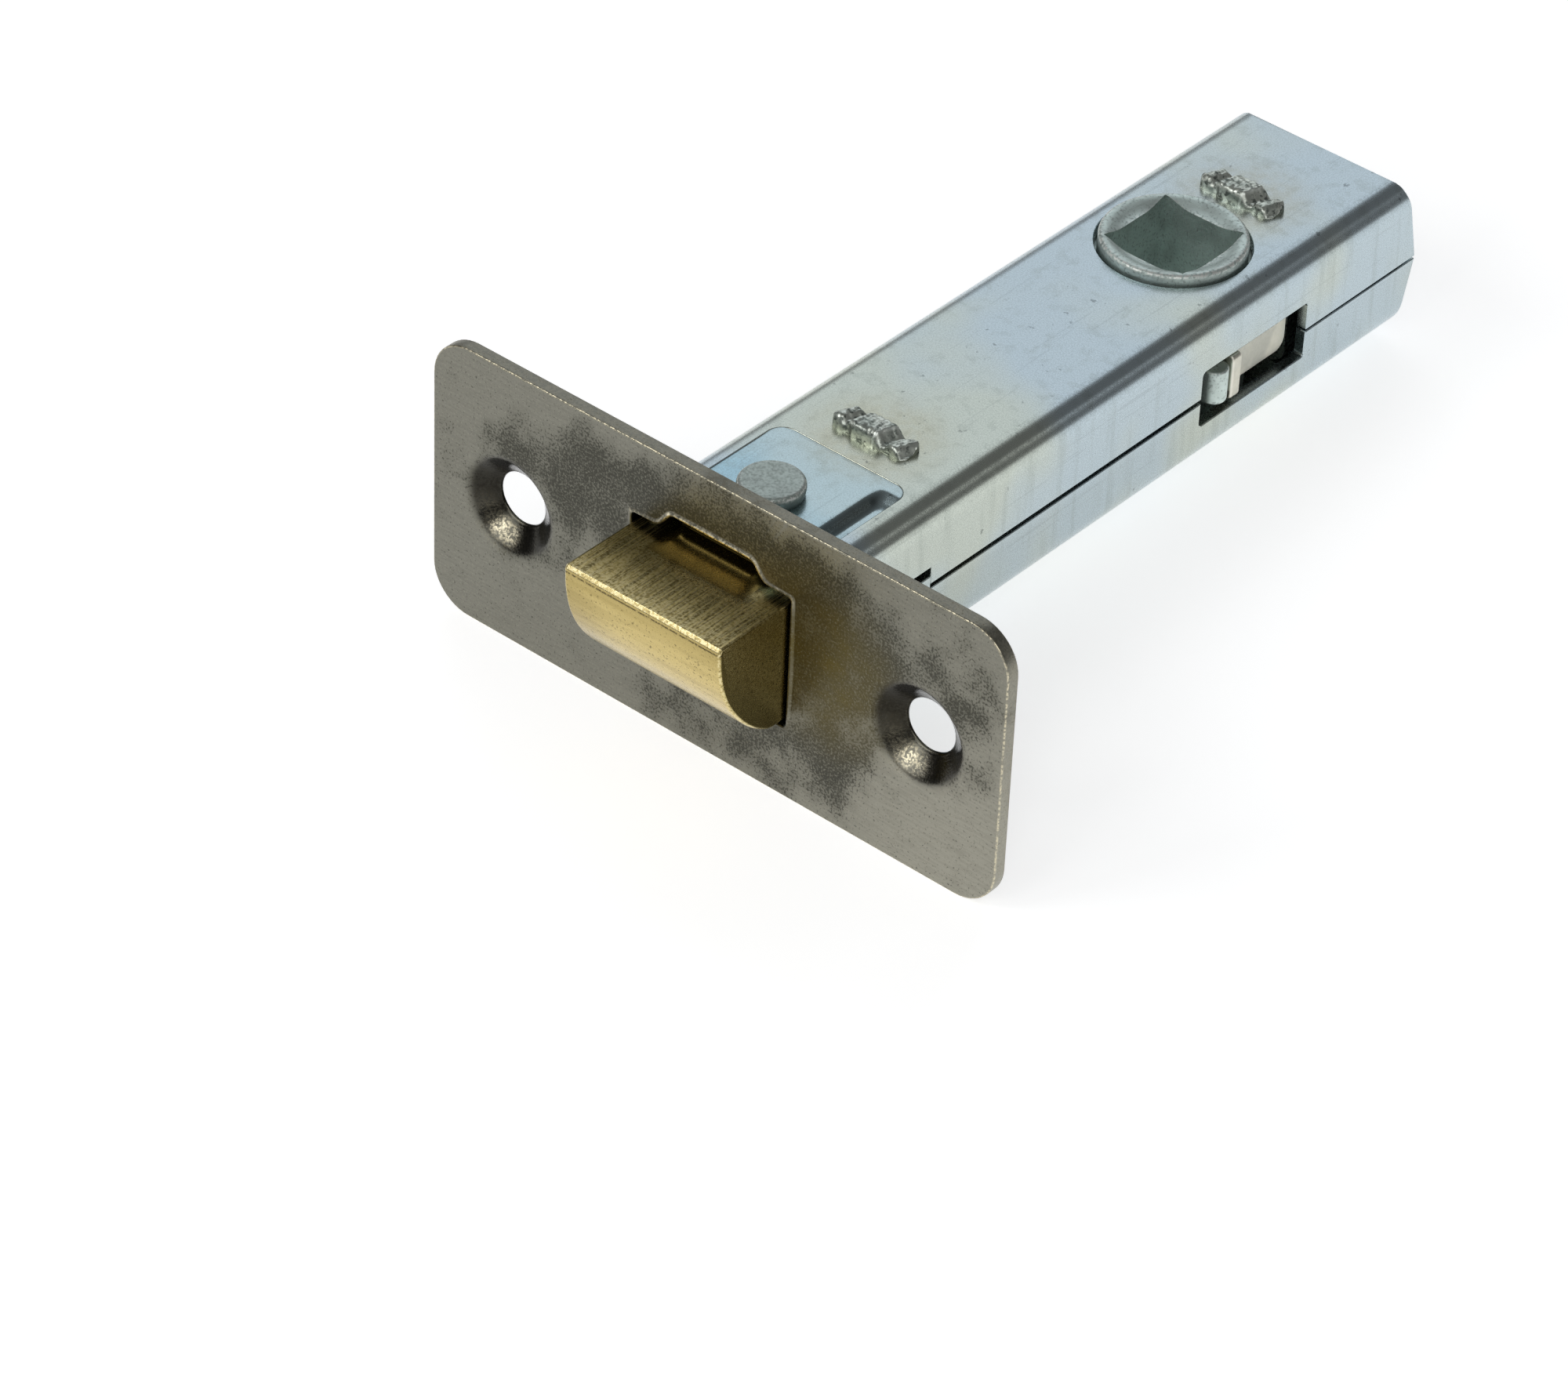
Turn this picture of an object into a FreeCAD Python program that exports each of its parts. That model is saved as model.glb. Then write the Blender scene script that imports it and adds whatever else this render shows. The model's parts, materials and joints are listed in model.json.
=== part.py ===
"""Tubular door latch, in millimetres.

The origin is the centre of the face plate's front. X runs along the face plate,
Y runs into the door and Z is the axis of the spindle.
"""

import FreeCAD
import Part

import math
import os

from FreeCAD import Vector

# Face plate.
PLATE_LENGTH = 57.0
PLATE_WIDTH = 25.4
PLATE_THICKNESS = 1.25
PLATE_CORNER_RADIUS = 3.7
SCREW_SPACING = 41.0
SCREW_HOLE_DIAMETER = 4.6
DIMPLE_RIM_DIAMETER = 8.4
DIMPLE_DROP = 0.6
DIMPLE_WALL = 0.7
DIMPLE_LAND = 0.4

# Opening of the face plate, and the bumps in its long edges.
OPENING_SIDE_GAP = 0.25
OPENING_EDGE_GAP = 0.7
OPENING_CORNER_RADIUS = 0.4
BUMP_TOP_WIDTH = 8.0
BUMP_FOOT_WIDTH = 10.3
BUMP_HEIGHT = 1.5
BUMP_RADIUS = 0.9

# Case of two folded shells; its width follows from the hub and the yoke round it.
CASE_HEIGHT = 14.0
CASE_LENGTH = 74.35
CASE_SHEET = 1.0
CASE_BEND_RADIUS = 2.4
REAR_LEAN = 1.7
REAR_CORNER_RADIUS = 0.8

# Seam between the shells: its level, its width, and the jog near the face plate.
SEAM_LEVEL = -0.6
SEAM_GAP = 0.4
REAR_SEAM_GAP = 0.2
JOG_LEVEL = 0.775
JOG_GAP = 0.85
JOG_LENGTH = 14.05

# Cut-out of each shell behind the face plate.
CUTOUT_WIDTH = 13.0
CUTOUT_LENGTH = 14.15
CUTOUT_RADIUS = 1.5

# Side window of the case, which the lobes and the ears reach into.
WINDOW_FRONT = 48.8
WINDOW_REAR = 62.5
WINDOW_TOP = 2.15
WINDOW_BOTTOM = -3.1
WINDOW_RADIUS = 0.4

# Tongue in each cut-out.
TONGUE_SHEET = 0.6
TONGUE_SIDE_GAP = 0.15
TONGUE_REAR_GAP = 0.1
TONGUE_FLAT_WIDTH = 8.4
TONGUE_ROLL = 0.8
TONGUE_ROLL_RADIUS = 2.5
TONGUE_CORNER_RADIUS = 1.35
KEY_WIDTH = 7.6
KEY_DEPTH = 0.3

# Strap under each tongue.
STRAP_SHEET = 0.4
STRAP_WIDTH = 7.2
STRAP_TAIL_WIDTH = 11.0
STRAP_FRONT = 3.0
STRAP_OVERLAP = 1.4
STRAP_JOGGLE = 1.4

# Rivet through each tongue and its strap.
RIVET_X = -1.05
RIVET_Y = 8.0
RIVET_SHANK_DIAMETER = 2.2
RIVET_HEAD_DIAMETER = 5.4
RIVET_HEAD_HEIGHT = 1.3
RIVET_EDGE_RADIUS = 0.25
RIVET_SINK_DIAMETER = 3.0

# Cross plates that are staked through both shells.
FRONT_BRIDGE_Y = 19.0
REAR_BRIDGE_Y = 64.8
BRIDGE_THICKNESS = 2.0
FRONT_BRIDGE_SIDE_GAP = 0.2
REAR_BRIDGE_WIDTH = 12.4
TAB_WIDTH = 6.4
HEAD_WIDTH = 7.4
HEAD_LENGTH = 2.6
HEAD_HEIGHT = 1.4
HEAD_CORNER_RADIUS = 0.8
HEAD_NOTCH_OFFSET = 1.8
HEAD_NOTCH_WIDTH = 0.9
HEAD_NOTCH_DEPTH = 0.6

# Bolt, as wide as the case leaves it.
BOLT_CASE_GAP = 0.25
BOLT_TOP = 5.4
BOLT_BOTTOM = -5.5
BOLT_REACH = 7.8
BOLT_TRAVEL = 7.3
BOLT_NOSE_RADIUS = 0.5
BOLT_SIDE_RADIUS = 0.45
BEVEL_NOSE_SETBACK = 0.2
BEVEL_NOSE_DROP = 1.1
BEVEL_MIDDLE_SETBACK = 1.15
BEVEL_MIDDLE_LEVEL = -0.2
BEVEL_HEEL = -1.7
BOLT_HEAD_LENGTH = 3.0
RIB_WIDTH = 9.0
RIB_GAP = 0.15
RIB_START = -1.2
RIB_RAMP = 1.9
LOWER_RIB_START = -0.9
SHANK_CASE_GAP = 1.0
SHANK_HEIGHT = 9.2
SHANK_STOP_GAP = 0.25
TAIL_WIDTH = 8.0
TAIL_HEIGHT = 6.0
TAIL_GUIDE_GAP = 0.2
TENON_WIDTH = 4.0
TENON_HEIGHT = 3.6
TENON_HEAD_LENGTH = 0.7
TENON_HEAD_DIAMETER = 5.6

# Washer under the riveted end of the tail.
WASHER_DIAMETER = 8.0
WASHER_THICKNESS = 0.6

# Yoke: a fork of sheet round the hub, with an ear and a claw on each arm.
YOKE_SHEET = 0.95
YOKE_HUB_GAP = 0.3
YOKE_SIDE_GAP = 0.15
YOKE_STOP_GAP = 0.2
YOKE_TOP = 4.9
YOKE_BOTTOM = -4.4
ARM_STEP_Y = 43.5
ARM_REAR = 61.3
ARM_UNDERSIDE = 1.5
CLAW_BOTTOM = -2.1
CLAW_RADIUS = 1.2
EAR_THICKNESS = 1.2
EAR_SETBACK = 0.05
EAR_TOP = 1.6
EAR_BOTTOM = -2.7
EAR_RADIUS = 0.5
ARM_CORNER_RADIUS = 1.0

# Follower: a hub with two bosses, two lobes and a square socket.
FOLLOWER_Y = 55.8
SOCKET_SIZE = 8.0
HUB_DIAMETER = 13.2
HUB_END_GAP = 0.3
BOSS_DIAMETER = 12.2
BOSS_HOLE_GAP = 0.3
BOSS_STAND = 0.85
BOSS_EDGE_RADIUS = 0.35
DISH_DIAMETER = 11.2
DISH_DEPTH = 0.55
LOBE_TIP_SETBACK = 0.946
LOBE_ANGLE = 27.5
LOBE_TIP_RADIUS = 1.15
LOBE_TOP = 1.05
LOBE_BOTTOM = -2.05
LOBE_START_GAP = 0.12

# Spring, its cage and its guide.
CAGE_SHEET = 0.8
CAGE_WIDTH = 11.0
CAGE_FRONT = 17.4
CAGE_WALL_FRONT = 42.8
CAGE_WALL_TOP = 5.4
CAGE_CORNER_RADIUS = 1.0
GUIDE_FLANGE_DIAMETER = 8.4
GUIDE_FLANGE_THICKNESS = 0.6
GUIDE_STUD_DIAMETER = 5.4
GUIDE_STUD_LENGTH = 3.0
GUIDE_SHANK_DIAMETER = 3.0
GUIDE_TAIL_LENGTH = 0.6
SPRING_DIAMETER = 8.3
SPRING_WIRE = 0.9
SPRING_TURNS = 9.0

# Widths that follow from the hub outward: the yoke's arms, the case and the bolt.
ARM_INSIDE = HUB_DIAMETER / 2 + YOKE_HUB_GAP
ARM_OUTSIDE = ARM_INSIDE + YOKE_SHEET
INNER_HALF_WIDTH = ARM_OUTSIDE + YOKE_SIDE_GAP
HALF_WIDTH = INNER_HALF_WIDTH + CASE_SHEET
BOLT_HALF_WIDTH = INNER_HALF_WIDTH - BOLT_CASE_GAP
SHANK_HALF_WIDTH = INNER_HALF_WIDTH - SHANK_CASE_GAP
EAR_REACH = HALF_WIDTH - EAR_SETBACK

# Places that follow from the sizes above.
HALF_HEIGHT = CASE_HEIGHT / 2
CASE_FRONT = PLATE_THICKNESS
CASE_REAR = CASE_FRONT + CASE_LENGTH
INNER_HALF_HEIGHT = HALF_HEIGHT - CASE_SHEET
CUTOUT_REAR = CASE_FRONT + CUTOUT_LENGTH
TONGUE_REAR = CUTOUT_REAR - TONGUE_REAR_GAP
TONGUE_UNDERSIDE = HALF_HEIGHT - TONGUE_SHEET
STRAP_FLOOR = TONGUE_UNDERSIDE - STRAP_SHEET
STRAP_TAIL_FLOOR = INNER_HALF_HEIGHT - STRAP_SHEET
STRAP_REAR = FRONT_BRIDGE_Y + BRIDGE_THICKNESS / 2 + STRAP_OVERLAP
BRIDGE_FRONT = FRONT_BRIDGE_Y - BRIDGE_THICKNESS / 2
BRIDGE_REAR = FRONT_BRIDGE_Y + BRIDGE_THICKNESS / 2
CAGE_FLOOR_TOP = CAGE_SHEET - STRAP_TAIL_FLOOR
SHANK_REAR = BRIDGE_FRONT - BOLT_TRAVEL - SHANK_STOP_GAP
WEB_FRONT = BRIDGE_REAR + YOKE_STOP_GAP
WEB_REAR = WEB_FRONT + YOKE_SHEET
WASHER_REAR = WEB_REAR + WASHER_THICKNESS
LOBE_TIP_X = HALF_WIDTH - LOBE_TIP_SETBACK
LOBE_RADIUS = LOBE_TIP_X / math.cos(math.radians(LOBE_ANGLE))
LOBE_TIP_Y = FOLLOWER_Y - LOBE_RADIUS * math.sin(math.radians(LOBE_ANGLE))
LOBE_FLANK_Y = LOBE_TIP_Y + LOBE_TIP_RADIUS
EAR_FRONT = LOBE_FLANK_Y + LOBE_START_GAP
BOSS_TOP = HALF_HEIGHT + BOSS_STAND
HUB_TOP = INNER_HALF_HEIGHT - HUB_END_GAP
GUIDE_FRONT = CAGE_WALL_FRONT - GUIDE_FLANGE_THICKNESS

PLANES = {
    "xy": lambda u, v, w: Vector(u, v, w),
    "xz": lambda u, v, w: Vector(u, w, v),
    "yz": lambda u, v, w: Vector(w, u, v),
}


def outline(corners):
    """Lines and arcs round a flat shape; each corner is (u, v) or (u, v, radius)."""
    sides = []
    count = len(corners)
    for i, corner in enumerate(corners):
        u, v = corner[:2]
        radius = corner[2] if len(corner) > 2 else 0.0
        last, following = corners[i - 1], corners[(i + 1) % count]
        back = math.hypot(last[0] - u, last[1] - v)
        ahead = math.hypot(following[0] - u, following[1] - v)
        a = ((last[0] - u) / back, (last[1] - v) / back)
        b = ((following[0] - u) / ahead, (following[1] - v) / ahead)
        half = math.acos(max(-1.0, min(1.0, a[0] * b[0] + a[1] * b[1]))) / 2
        # A rounding is limited by the shorter side beside it.
        trim = min(radius / math.tan(half), 0.49 * back, 0.49 * ahead)
        if trim < 1e-4:
            sides.append([(u, v)])
            continue
        radius = trim * math.tan(half)
        bisector = math.hypot(a[0] + b[0], a[1] + b[1])
        reach = radius / math.sin(half) - radius
        middle = (u + (a[0] + b[0]) / bisector * reach, v + (a[1] + b[1]) / bisector * reach)
        sides.append([(u + a[0] * trim, v + a[1] * trim), middle, (u + b[0] * trim, v + b[1] * trim)])
    return sides


def prism(plane, corners, start, end):
    """Solid with one flat outline, from one level to another across its plane."""
    place = PLANES[plane]
    edges = []
    sides = outline(corners)
    for i, side in enumerate(sides):
        points = [place(u, v, start) for u, v in side]
        if len(points) == 3:
            edges.append(Part.Arc(*points).toShape())
        following = sides[(i + 1) % len(sides)][0]
        edges.append(Part.makeLine(points[-1], place(following[0], following[1], start)))
    across = place(0, 0, end) - place(0, 0, start)
    return solid_of(edges, across)


def solid_of(edges, across):
    """Solid swept from a closed ring of edges along a vector."""
    return Part.Face(Part.Wire(edges)).extrude(across)


def rectangle(u0, u1, v0, v1, radius=0.0):
    """Corners of a rectangle with all its corners rounded alike."""
    return [(u0, v0, radius), (u1, v0, radius), (u1, v1, radius), (u0, v1, radius)]


def box(x0, x1, y0, y1, z0, z1):
    """Box between two corners."""
    return Part.makeBox(x1 - x0, y1 - y0, z1 - z0, Vector(x0, y0, z0))


def post(diameter, x, y, z0, z1):
    """Round post along Z."""
    return Part.makeCylinder(diameter / 2, z1 - z0, Vector(x, y, z0), Vector(0, 0, 1))


def pin(diameter, y0, y1):
    """Round pin along Y on the axis of the bolt."""
    return Part.makeCylinder(diameter / 2, y1 - y0, Vector(0, y0, 0), Vector(0, 1, 0))


def mirrored(shape, axis):
    """The shape's mirror image in the plane through the origin across an axis."""
    return shape.mirror(Vector(0, 0, 0), axis)


def both_sides(shape):
    """The shape and its mirror image on the other side of the case."""
    return [shape, mirrored(shape, Vector(1, 0, 0))]


def face_plate():
    """Flat plate with two pressed dimples and the opening for the bolt."""
    half_length, half_width = PLATE_LENGTH / 2, PLATE_WIDTH / 2
    corners = rectangle(-half_length, half_length, -half_width, half_width, PLATE_CORNER_RADIUS)
    plate = prism("xz", corners, 0, PLATE_THICKNESS)
    rim, hole = DIMPLE_RIM_DIAMETER / 2, SCREW_HOLE_DIAMETER / 2
    depth = PLATE_THICKNESS + DIMPLE_DROP
    inward = Vector(0, 1, 0)
    for x in (-SCREW_SPACING / 2, SCREW_SPACING / 2):
        cup = Part.makeCone(rim + DIMPLE_WALL, hole + DIMPLE_WALL, depth, Vector(x, 0, 0), inward)
        plate = plate.fuse(cup)
    for x in (-SCREW_SPACING / 2, SCREW_SPACING / 2):
        plate = plate.cut(Part.makeCone(rim, hole, depth - DIMPLE_LAND, Vector(x, 0, 0), inward))
        plate = plate.cut(Part.makeCylinder(hole, depth, Vector(x, 0, 0), inward))
    return plate.cut(bolt_opening()).removeSplitter()


def bolt_opening():
    """Cutter for the bolt's opening, with a bump in each long edge."""
    side = BOLT_HALF_WIDTH + OPENING_SIDE_GAP
    edge = BOLT_TOP + OPENING_EDGE_GAP
    top, foot = BUMP_TOP_WIDTH / 2, BUMP_FOOT_WIDTH / 2
    crest = edge + BUMP_HEIGHT
    upper = [
        (side, edge, OPENING_CORNER_RADIUS),
        (foot, edge, BUMP_RADIUS),
        (top, crest, BUMP_RADIUS),
        (-top, crest, BUMP_RADIUS),
        (-foot, edge, BUMP_RADIUS),
        (-side, edge, OPENING_CORNER_RADIUS),
    ]
    lower = [(-x, -z, radius) for x, z, radius in upper]
    return prism("xz", upper + lower, -1, PLATE_THICKNESS + 1)


def case_block(inset):
    """Outer shape of the case, made smaller all round by the inset."""
    half_width, half_height = HALF_WIDTH - inset, HALF_HEIGHT - inset
    bend = max(CASE_BEND_RADIUS - inset, 0.05)
    section = rectangle(-half_width, half_width, -half_height, half_height, bend)
    rear = CASE_REAR - inset
    side = [
        (CASE_FRONT, -half_height),
        (rear, -half_height, REAR_CORNER_RADIUS),
        (rear + REAR_LEAN, SEAM_LEVEL),
        (rear, half_height, REAR_CORNER_RADIUS),
        (CASE_FRONT, half_height),
    ]
    bar = prism("xz", section, CASE_FRONT, rear + REAR_LEAN + 1)
    return bar.common(prism("yz", side, -HALF_WIDTH - 1, HALF_WIDTH + 1))


def seam_edge(sign):
    """Edge of one shell along the seam, as (Y, Z) points from the front to the rear."""
    jog_end = CASE_FRONT + JOG_LENGTH
    window_middle = (WINDOW_FRONT + WINDOW_REAR) / 2
    jog = JOG_LEVEL + sign * JOG_GAP / 2
    front = SEAM_LEVEL + sign * SEAM_GAP / 2
    rear = SEAM_LEVEL + sign * REAR_SEAM_GAP / 2
    beyond = CASE_REAR + 2 * REAR_LEAN
    return [
        (CASE_FRONT - 1, jog),
        (jog_end, jog),
        (jog_end, front),
        (window_middle, front),
        (window_middle, rear),
        (beyond, rear),
    ]


def case_shell(sign):
    """One folded shell: the upper one for sign 1, the lower one for sign -1."""
    shell = case_block(0).cut(case_block(CASE_SHEET))
    reach = sign * CASE_HEIGHT
    path = seam_edge(sign)
    keep = path + [(path[-1][0], reach), (path[0][0], reach)]
    shell = shell.common(prism("yz", keep, -HALF_WIDTH - 1, HALF_WIDTH + 1))
    window = rectangle(WINDOW_FRONT, WINDOW_REAR, WINDOW_BOTTOM, WINDOW_TOP, WINDOW_RADIUS)
    shell = shell.cut(prism("yz", window, -HALF_WIDTH - 1, HALF_WIDTH + 1))
    inside, outside = sign * (INNER_HALF_HEIGHT - 1), sign * (HALF_HEIGHT + 1)
    half = CUTOUT_WIDTH / 2
    cutout = [
        (-half, CASE_FRONT - 1),
        (half, CASE_FRONT - 1),
        (half, CUTOUT_REAR, CUTOUT_RADIUS),
        (-half, CUTOUT_REAR, CUTOUT_RADIUS),
    ]
    shell = shell.cut(prism("xy", cutout, inside, outside))
    low, high = sorted((inside, outside))
    shell = shell.cut(post(BOSS_DIAMETER + 2 * BOSS_HOLE_GAP, 0, FOLLOWER_Y, low, high))
    for y in (FRONT_BRIDGE_Y, REAR_BRIDGE_Y):
        shell = shell.cut(tab(y, low, high))
    return shell


def tab(y, low, high):
    """Tab of a cross plate, and the slot that it fills."""
    half = BRIDGE_THICKNESS / 2
    return box(-TAB_WIDTH / 2, TAB_WIDTH / 2, y - half, y + half, low, high)


def staked_head(y):
    """Spread end of a tab on the upper shell, parted in three by two chisel notches."""
    half_width, half_length = HEAD_WIDTH / 2, HEAD_LENGTH / 2
    top = HALF_HEIGHT + HEAD_HEIGHT
    corners = rectangle(-half_width, half_width, y - half_length, y + half_length, HEAD_CORNER_RADIUS)
    head = prism("xy", corners, HALF_HEIGHT, top)
    for x in (-HEAD_NOTCH_OFFSET, HEAD_NOTCH_OFFSET):
        notch = [
            (x - HEAD_NOTCH_WIDTH / 2, top + 0.01),
            (x, top - HEAD_NOTCH_DEPTH),
            (x + HEAD_NOTCH_WIDTH / 2, top + 0.01),
        ]
        head = head.cut(prism("xz", notch, y - HEAD_LENGTH, y + HEAD_LENGTH))
    return head


def bridge(y, half_width, bottom, top):
    """Cross plate with a tab and a staked head at its top and its bottom."""
    half = BRIDGE_THICKNESS / 2
    head = staked_head(y)
    # The plate's corners are rounded as the case's bends are inside.
    corners = rectangle(-half_width, half_width, bottom, top, CASE_BEND_RADIUS - CASE_SHEET)
    plate = prism("xz", corners, y - half, y + half)
    plate = plate.fuse(tab(y, -HALF_HEIGHT, HALF_HEIGHT))
    plate = plate.fuse([head, mirrored(head, Vector(0, 0, 1))])
    return plate.removeSplitter()


def front_bridge():
    """Cross plate that guides the bolt's tail and clamps both straps and the cage."""
    half_width = INNER_HALF_WIDTH - FRONT_BRIDGE_SIDE_GAP
    plate = bridge(FRONT_BRIDGE_Y, half_width, CAGE_FLOOR_TOP, STRAP_TAIL_FLOOR)
    x = TAIL_WIDTH / 2 + TAIL_GUIDE_GAP
    z = TAIL_HEIGHT / 2 + TAIL_GUIDE_GAP
    return plate.cut(box(-x, x, BRIDGE_FRONT - 1, BRIDGE_REAR + 1, -z, z))


def rear_bridge():
    """Cross plate behind the hub, narrow enough for the yoke's arms to pass."""
    half_width = REAR_BRIDGE_WIDTH / 2
    return bridge(REAR_BRIDGE_Y, half_width, -INNER_HALF_HEIGHT, INNER_HALF_HEIGHT)


def tongue():
    """Panel in the upper cut-out, its sides rolled down and its end keyed in a bump."""
    flat = TONGUE_FLAT_WIDTH / 2
    side = CUTOUT_WIDTH / 2 - TONGUE_SIDE_GAP
    low = HALF_HEIGHT - TONGUE_ROLL
    section = [
        (-side, low),
        (-flat, HALF_HEIGHT, TONGUE_ROLL_RADIUS),
        (flat, HALF_HEIGHT, TONGUE_ROLL_RADIUS),
        (side, low),
        (side, low - TONGUE_SHEET),
        (flat, TONGUE_UNDERSIDE, TONGUE_ROLL_RADIUS),
        (-flat, TONGUE_UNDERSIDE, TONGUE_ROLL_RADIUS),
        (-side, low - TONGUE_SHEET),
    ]
    key = KEY_WIDTH / 2
    plan = [
        (-key, CASE_FRONT - KEY_DEPTH),
        (key, CASE_FRONT - KEY_DEPTH),
        (key, CASE_FRONT),
        (side, CASE_FRONT),
        (side, TONGUE_REAR, TONGUE_CORNER_RADIUS),
        (-side, TONGUE_REAR, TONGUE_CORNER_RADIUS),
        (-side, CASE_FRONT),
        (-key, CASE_FRONT),
    ]
    panel = prism("xz", section, CASE_FRONT - KEY_DEPTH, TONGUE_REAR)
    panel = panel.common(prism("xy", plan, 0, HALF_HEIGHT + 1))
    shank = post(RIVET_SHANK_DIAMETER, RIVET_X, RIVET_Y, 0, HALF_HEIGHT + 1)
    return panel.cut(shank)


def strap():
    """Thin strap from under the tongue to the front bridge, with a joggle under the shell."""
    joggle_end = CUTOUT_REAR - 0.1
    joggle_start = joggle_end - STRAP_JOGGLE
    side = [
        (STRAP_FRONT, STRAP_FLOOR),
        (joggle_start, STRAP_FLOOR),
        (joggle_end, STRAP_TAIL_FLOOR),
        (STRAP_REAR, STRAP_TAIL_FLOOR),
        (STRAP_REAR, INNER_HALF_HEIGHT),
        (joggle_end, INNER_HALF_HEIGHT),
        (joggle_start, TONGUE_UNDERSIDE),
        (STRAP_FRONT, TONGUE_UNDERSIDE),
    ]
    strip = prism("yz", side, -STRAP_WIDTH / 2, STRAP_WIDTH / 2)
    tail = box(
        -STRAP_TAIL_WIDTH / 2,
        STRAP_TAIL_WIDTH / 2,
        BRIDGE_FRONT - STRAP_OVERLAP,
        STRAP_REAR,
        STRAP_TAIL_FLOOR,
        INNER_HALF_HEIGHT,
    )
    strip = strip.fuse(tail).removeSplitter()
    strip = strip.cut(tab(FRONT_BRIDGE_Y, 0, HALF_HEIGHT))
    return strip.cut(rivet())


def rivet():
    """Flat-headed rivet, its inner end spread flush in the strap."""
    centre = Vector(RIVET_X, RIVET_Y, HALF_HEIGHT)
    up = Vector(0, 0, 1)
    head = Part.makeCylinder(RIVET_HEAD_DIAMETER / 2, RIVET_HEAD_HEIGHT, centre, up)
    rim = [edge for edge in head.Edges if is_circle_at(edge, HALF_HEIGHT + RIVET_HEAD_HEIGHT)]
    head = head.makeFillet(min(RIVET_EDGE_RADIUS, RIVET_HEAD_HEIGHT / 2), rim)
    shank = post(RIVET_SHANK_DIAMETER, RIVET_X, RIVET_Y, STRAP_FLOOR, HALF_HEIGHT)
    foot = Vector(RIVET_X, RIVET_Y, STRAP_FLOOR)
    sink = Part.makeCone(RIVET_SINK_DIAMETER / 2, RIVET_SHANK_DIAMETER / 2, STRAP_SHEET, foot, up)
    return head.fuse([shank, sink]).removeSplitter()


def is_circle_at(edge, z):
    """Whether an edge is a circle that lies flat at a level."""
    box_of_edge = edge.BoundBox
    is_flat = box_of_edge.ZLength < 1e-6 and abs(box_of_edge.ZMin - z) < 1e-6
    return is_flat and isinstance(edge.Curve, Part.Circle)


def latch_bolt():
    """Cast bolt: a bevelled head with a rib on its faces, a shank and a riveted tail."""
    half = BOLT_HALF_WIDTH
    section = rectangle(-half, half, BOLT_BOTTOM, BOLT_TOP, BOLT_SIDE_RADIUS)
    head = bevelled_head().common(prism("xz", section, -BOLT_REACH - 1, BOLT_HEAD_LENGTH))
    shank_half, shank_z = SHANK_HALF_WIDTH, SHANK_HEIGHT / 2
    shank = box(-shank_half, shank_half, BOLT_HEAD_LENGTH, SHANK_REAR, -shank_z, shank_z)
    tail_x, tail_z = TAIL_WIDTH / 2, TAIL_HEIGHT / 2
    tail = box(-tail_x, tail_x, SHANK_REAR, WEB_FRONT, -tail_z, tail_z)
    tenon = tenon_bar(WEB_FRONT, WASHER_REAR)
    button = pin(TENON_HEAD_DIAMETER, WASHER_REAR, WASHER_REAR + TENON_HEAD_LENGTH)
    bolt = head.fuse([upper_rib(), lower_rib(), shank, tail, tenon, button])
    return bolt.removeSplitter()


def bevelled_head():
    """Head of the bolt, as wide as the case allows, with its bevel an arc in side view."""
    nose = BOLT_TOP - BEVEL_NOSE_DROP
    start = -BOLT_REACH + BEVEL_NOSE_SETBACK
    arc = Part.Arc(
        Vector(0, start, nose),
        Vector(0, -BOLT_REACH + BEVEL_MIDDLE_SETBACK, BEVEL_MIDDLE_LEVEL),
        Vector(0, BEVEL_HEEL, BOLT_BOTTOM),
    )
    ring = [
        (BEVEL_HEEL, BOLT_BOTTOM),
        (BOLT_HEAD_LENGTH, BOLT_BOTTOM),
        (BOLT_HEAD_LENGTH, BOLT_TOP),
        (-BOLT_REACH + BOLT_NOSE_RADIUS, BOLT_TOP),
    ]
    edges = []
    for first, second in zip(ring, ring[1:]):
        edges.append(Part.makeLine(Vector(0, *first), Vector(0, *second)))
    shift = BOLT_NOSE_RADIUS * (1 - math.sqrt(0.5))
    round_nose = Part.Arc(
        Vector(0, *ring[-1]),
        Vector(0, -BOLT_REACH + shift, BOLT_TOP - shift),
        Vector(0, -BOLT_REACH, BOLT_TOP - BOLT_NOSE_RADIUS),
    )
    edges.append(round_nose.toShape())
    nose_end = Vector(0, -BOLT_REACH, BOLT_TOP - BOLT_NOSE_RADIUS)
    edges.append(Part.makeLine(nose_end, Vector(0, start, nose)))
    edges.append(arc.toShape())
    for edge in edges:
        edge.translate(Vector(-HALF_WIDTH, 0, 0))
    return solid_of(edges, Vector(2 * HALF_WIDTH, 0, 0))


def rib(start, foot, crest):
    """Low rib on one face of the bolt's head, with a ramp at its front."""
    side = [
        (start, foot),
        (start + RIB_RAMP, crest),
        (BOLT_HEAD_LENGTH, crest),
        (BOLT_HEAD_LENGTH, 0),
        (start, 0),
    ]
    return prism("yz", side, -RIB_WIDTH / 2, RIB_WIDTH / 2)


def upper_rib():
    """Rib on the flat side of the bolt."""
    return rib(RIB_START, BOLT_TOP, STRAP_FLOOR - RIB_GAP)


def lower_rib():
    """Rib on the bevelled side of the bolt."""
    return rib(LOWER_RIB_START, BOLT_BOTTOM, RIB_GAP - STRAP_FLOOR)


def tenon_bar(start, end):
    """Square end of the bolt's tail, and the hole that it fills."""
    x, z = TENON_WIDTH / 2, TENON_HEIGHT / 2
    return box(-x, x, start, end, -z, z)


def tail_washer():
    """Washer between the yoke and the riveted end of the tail."""
    return pin(WASHER_DIAMETER, WEB_REAR, WASHER_REAR).cut(tenon_bar(WEB_REAR, WASHER_REAR))


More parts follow.
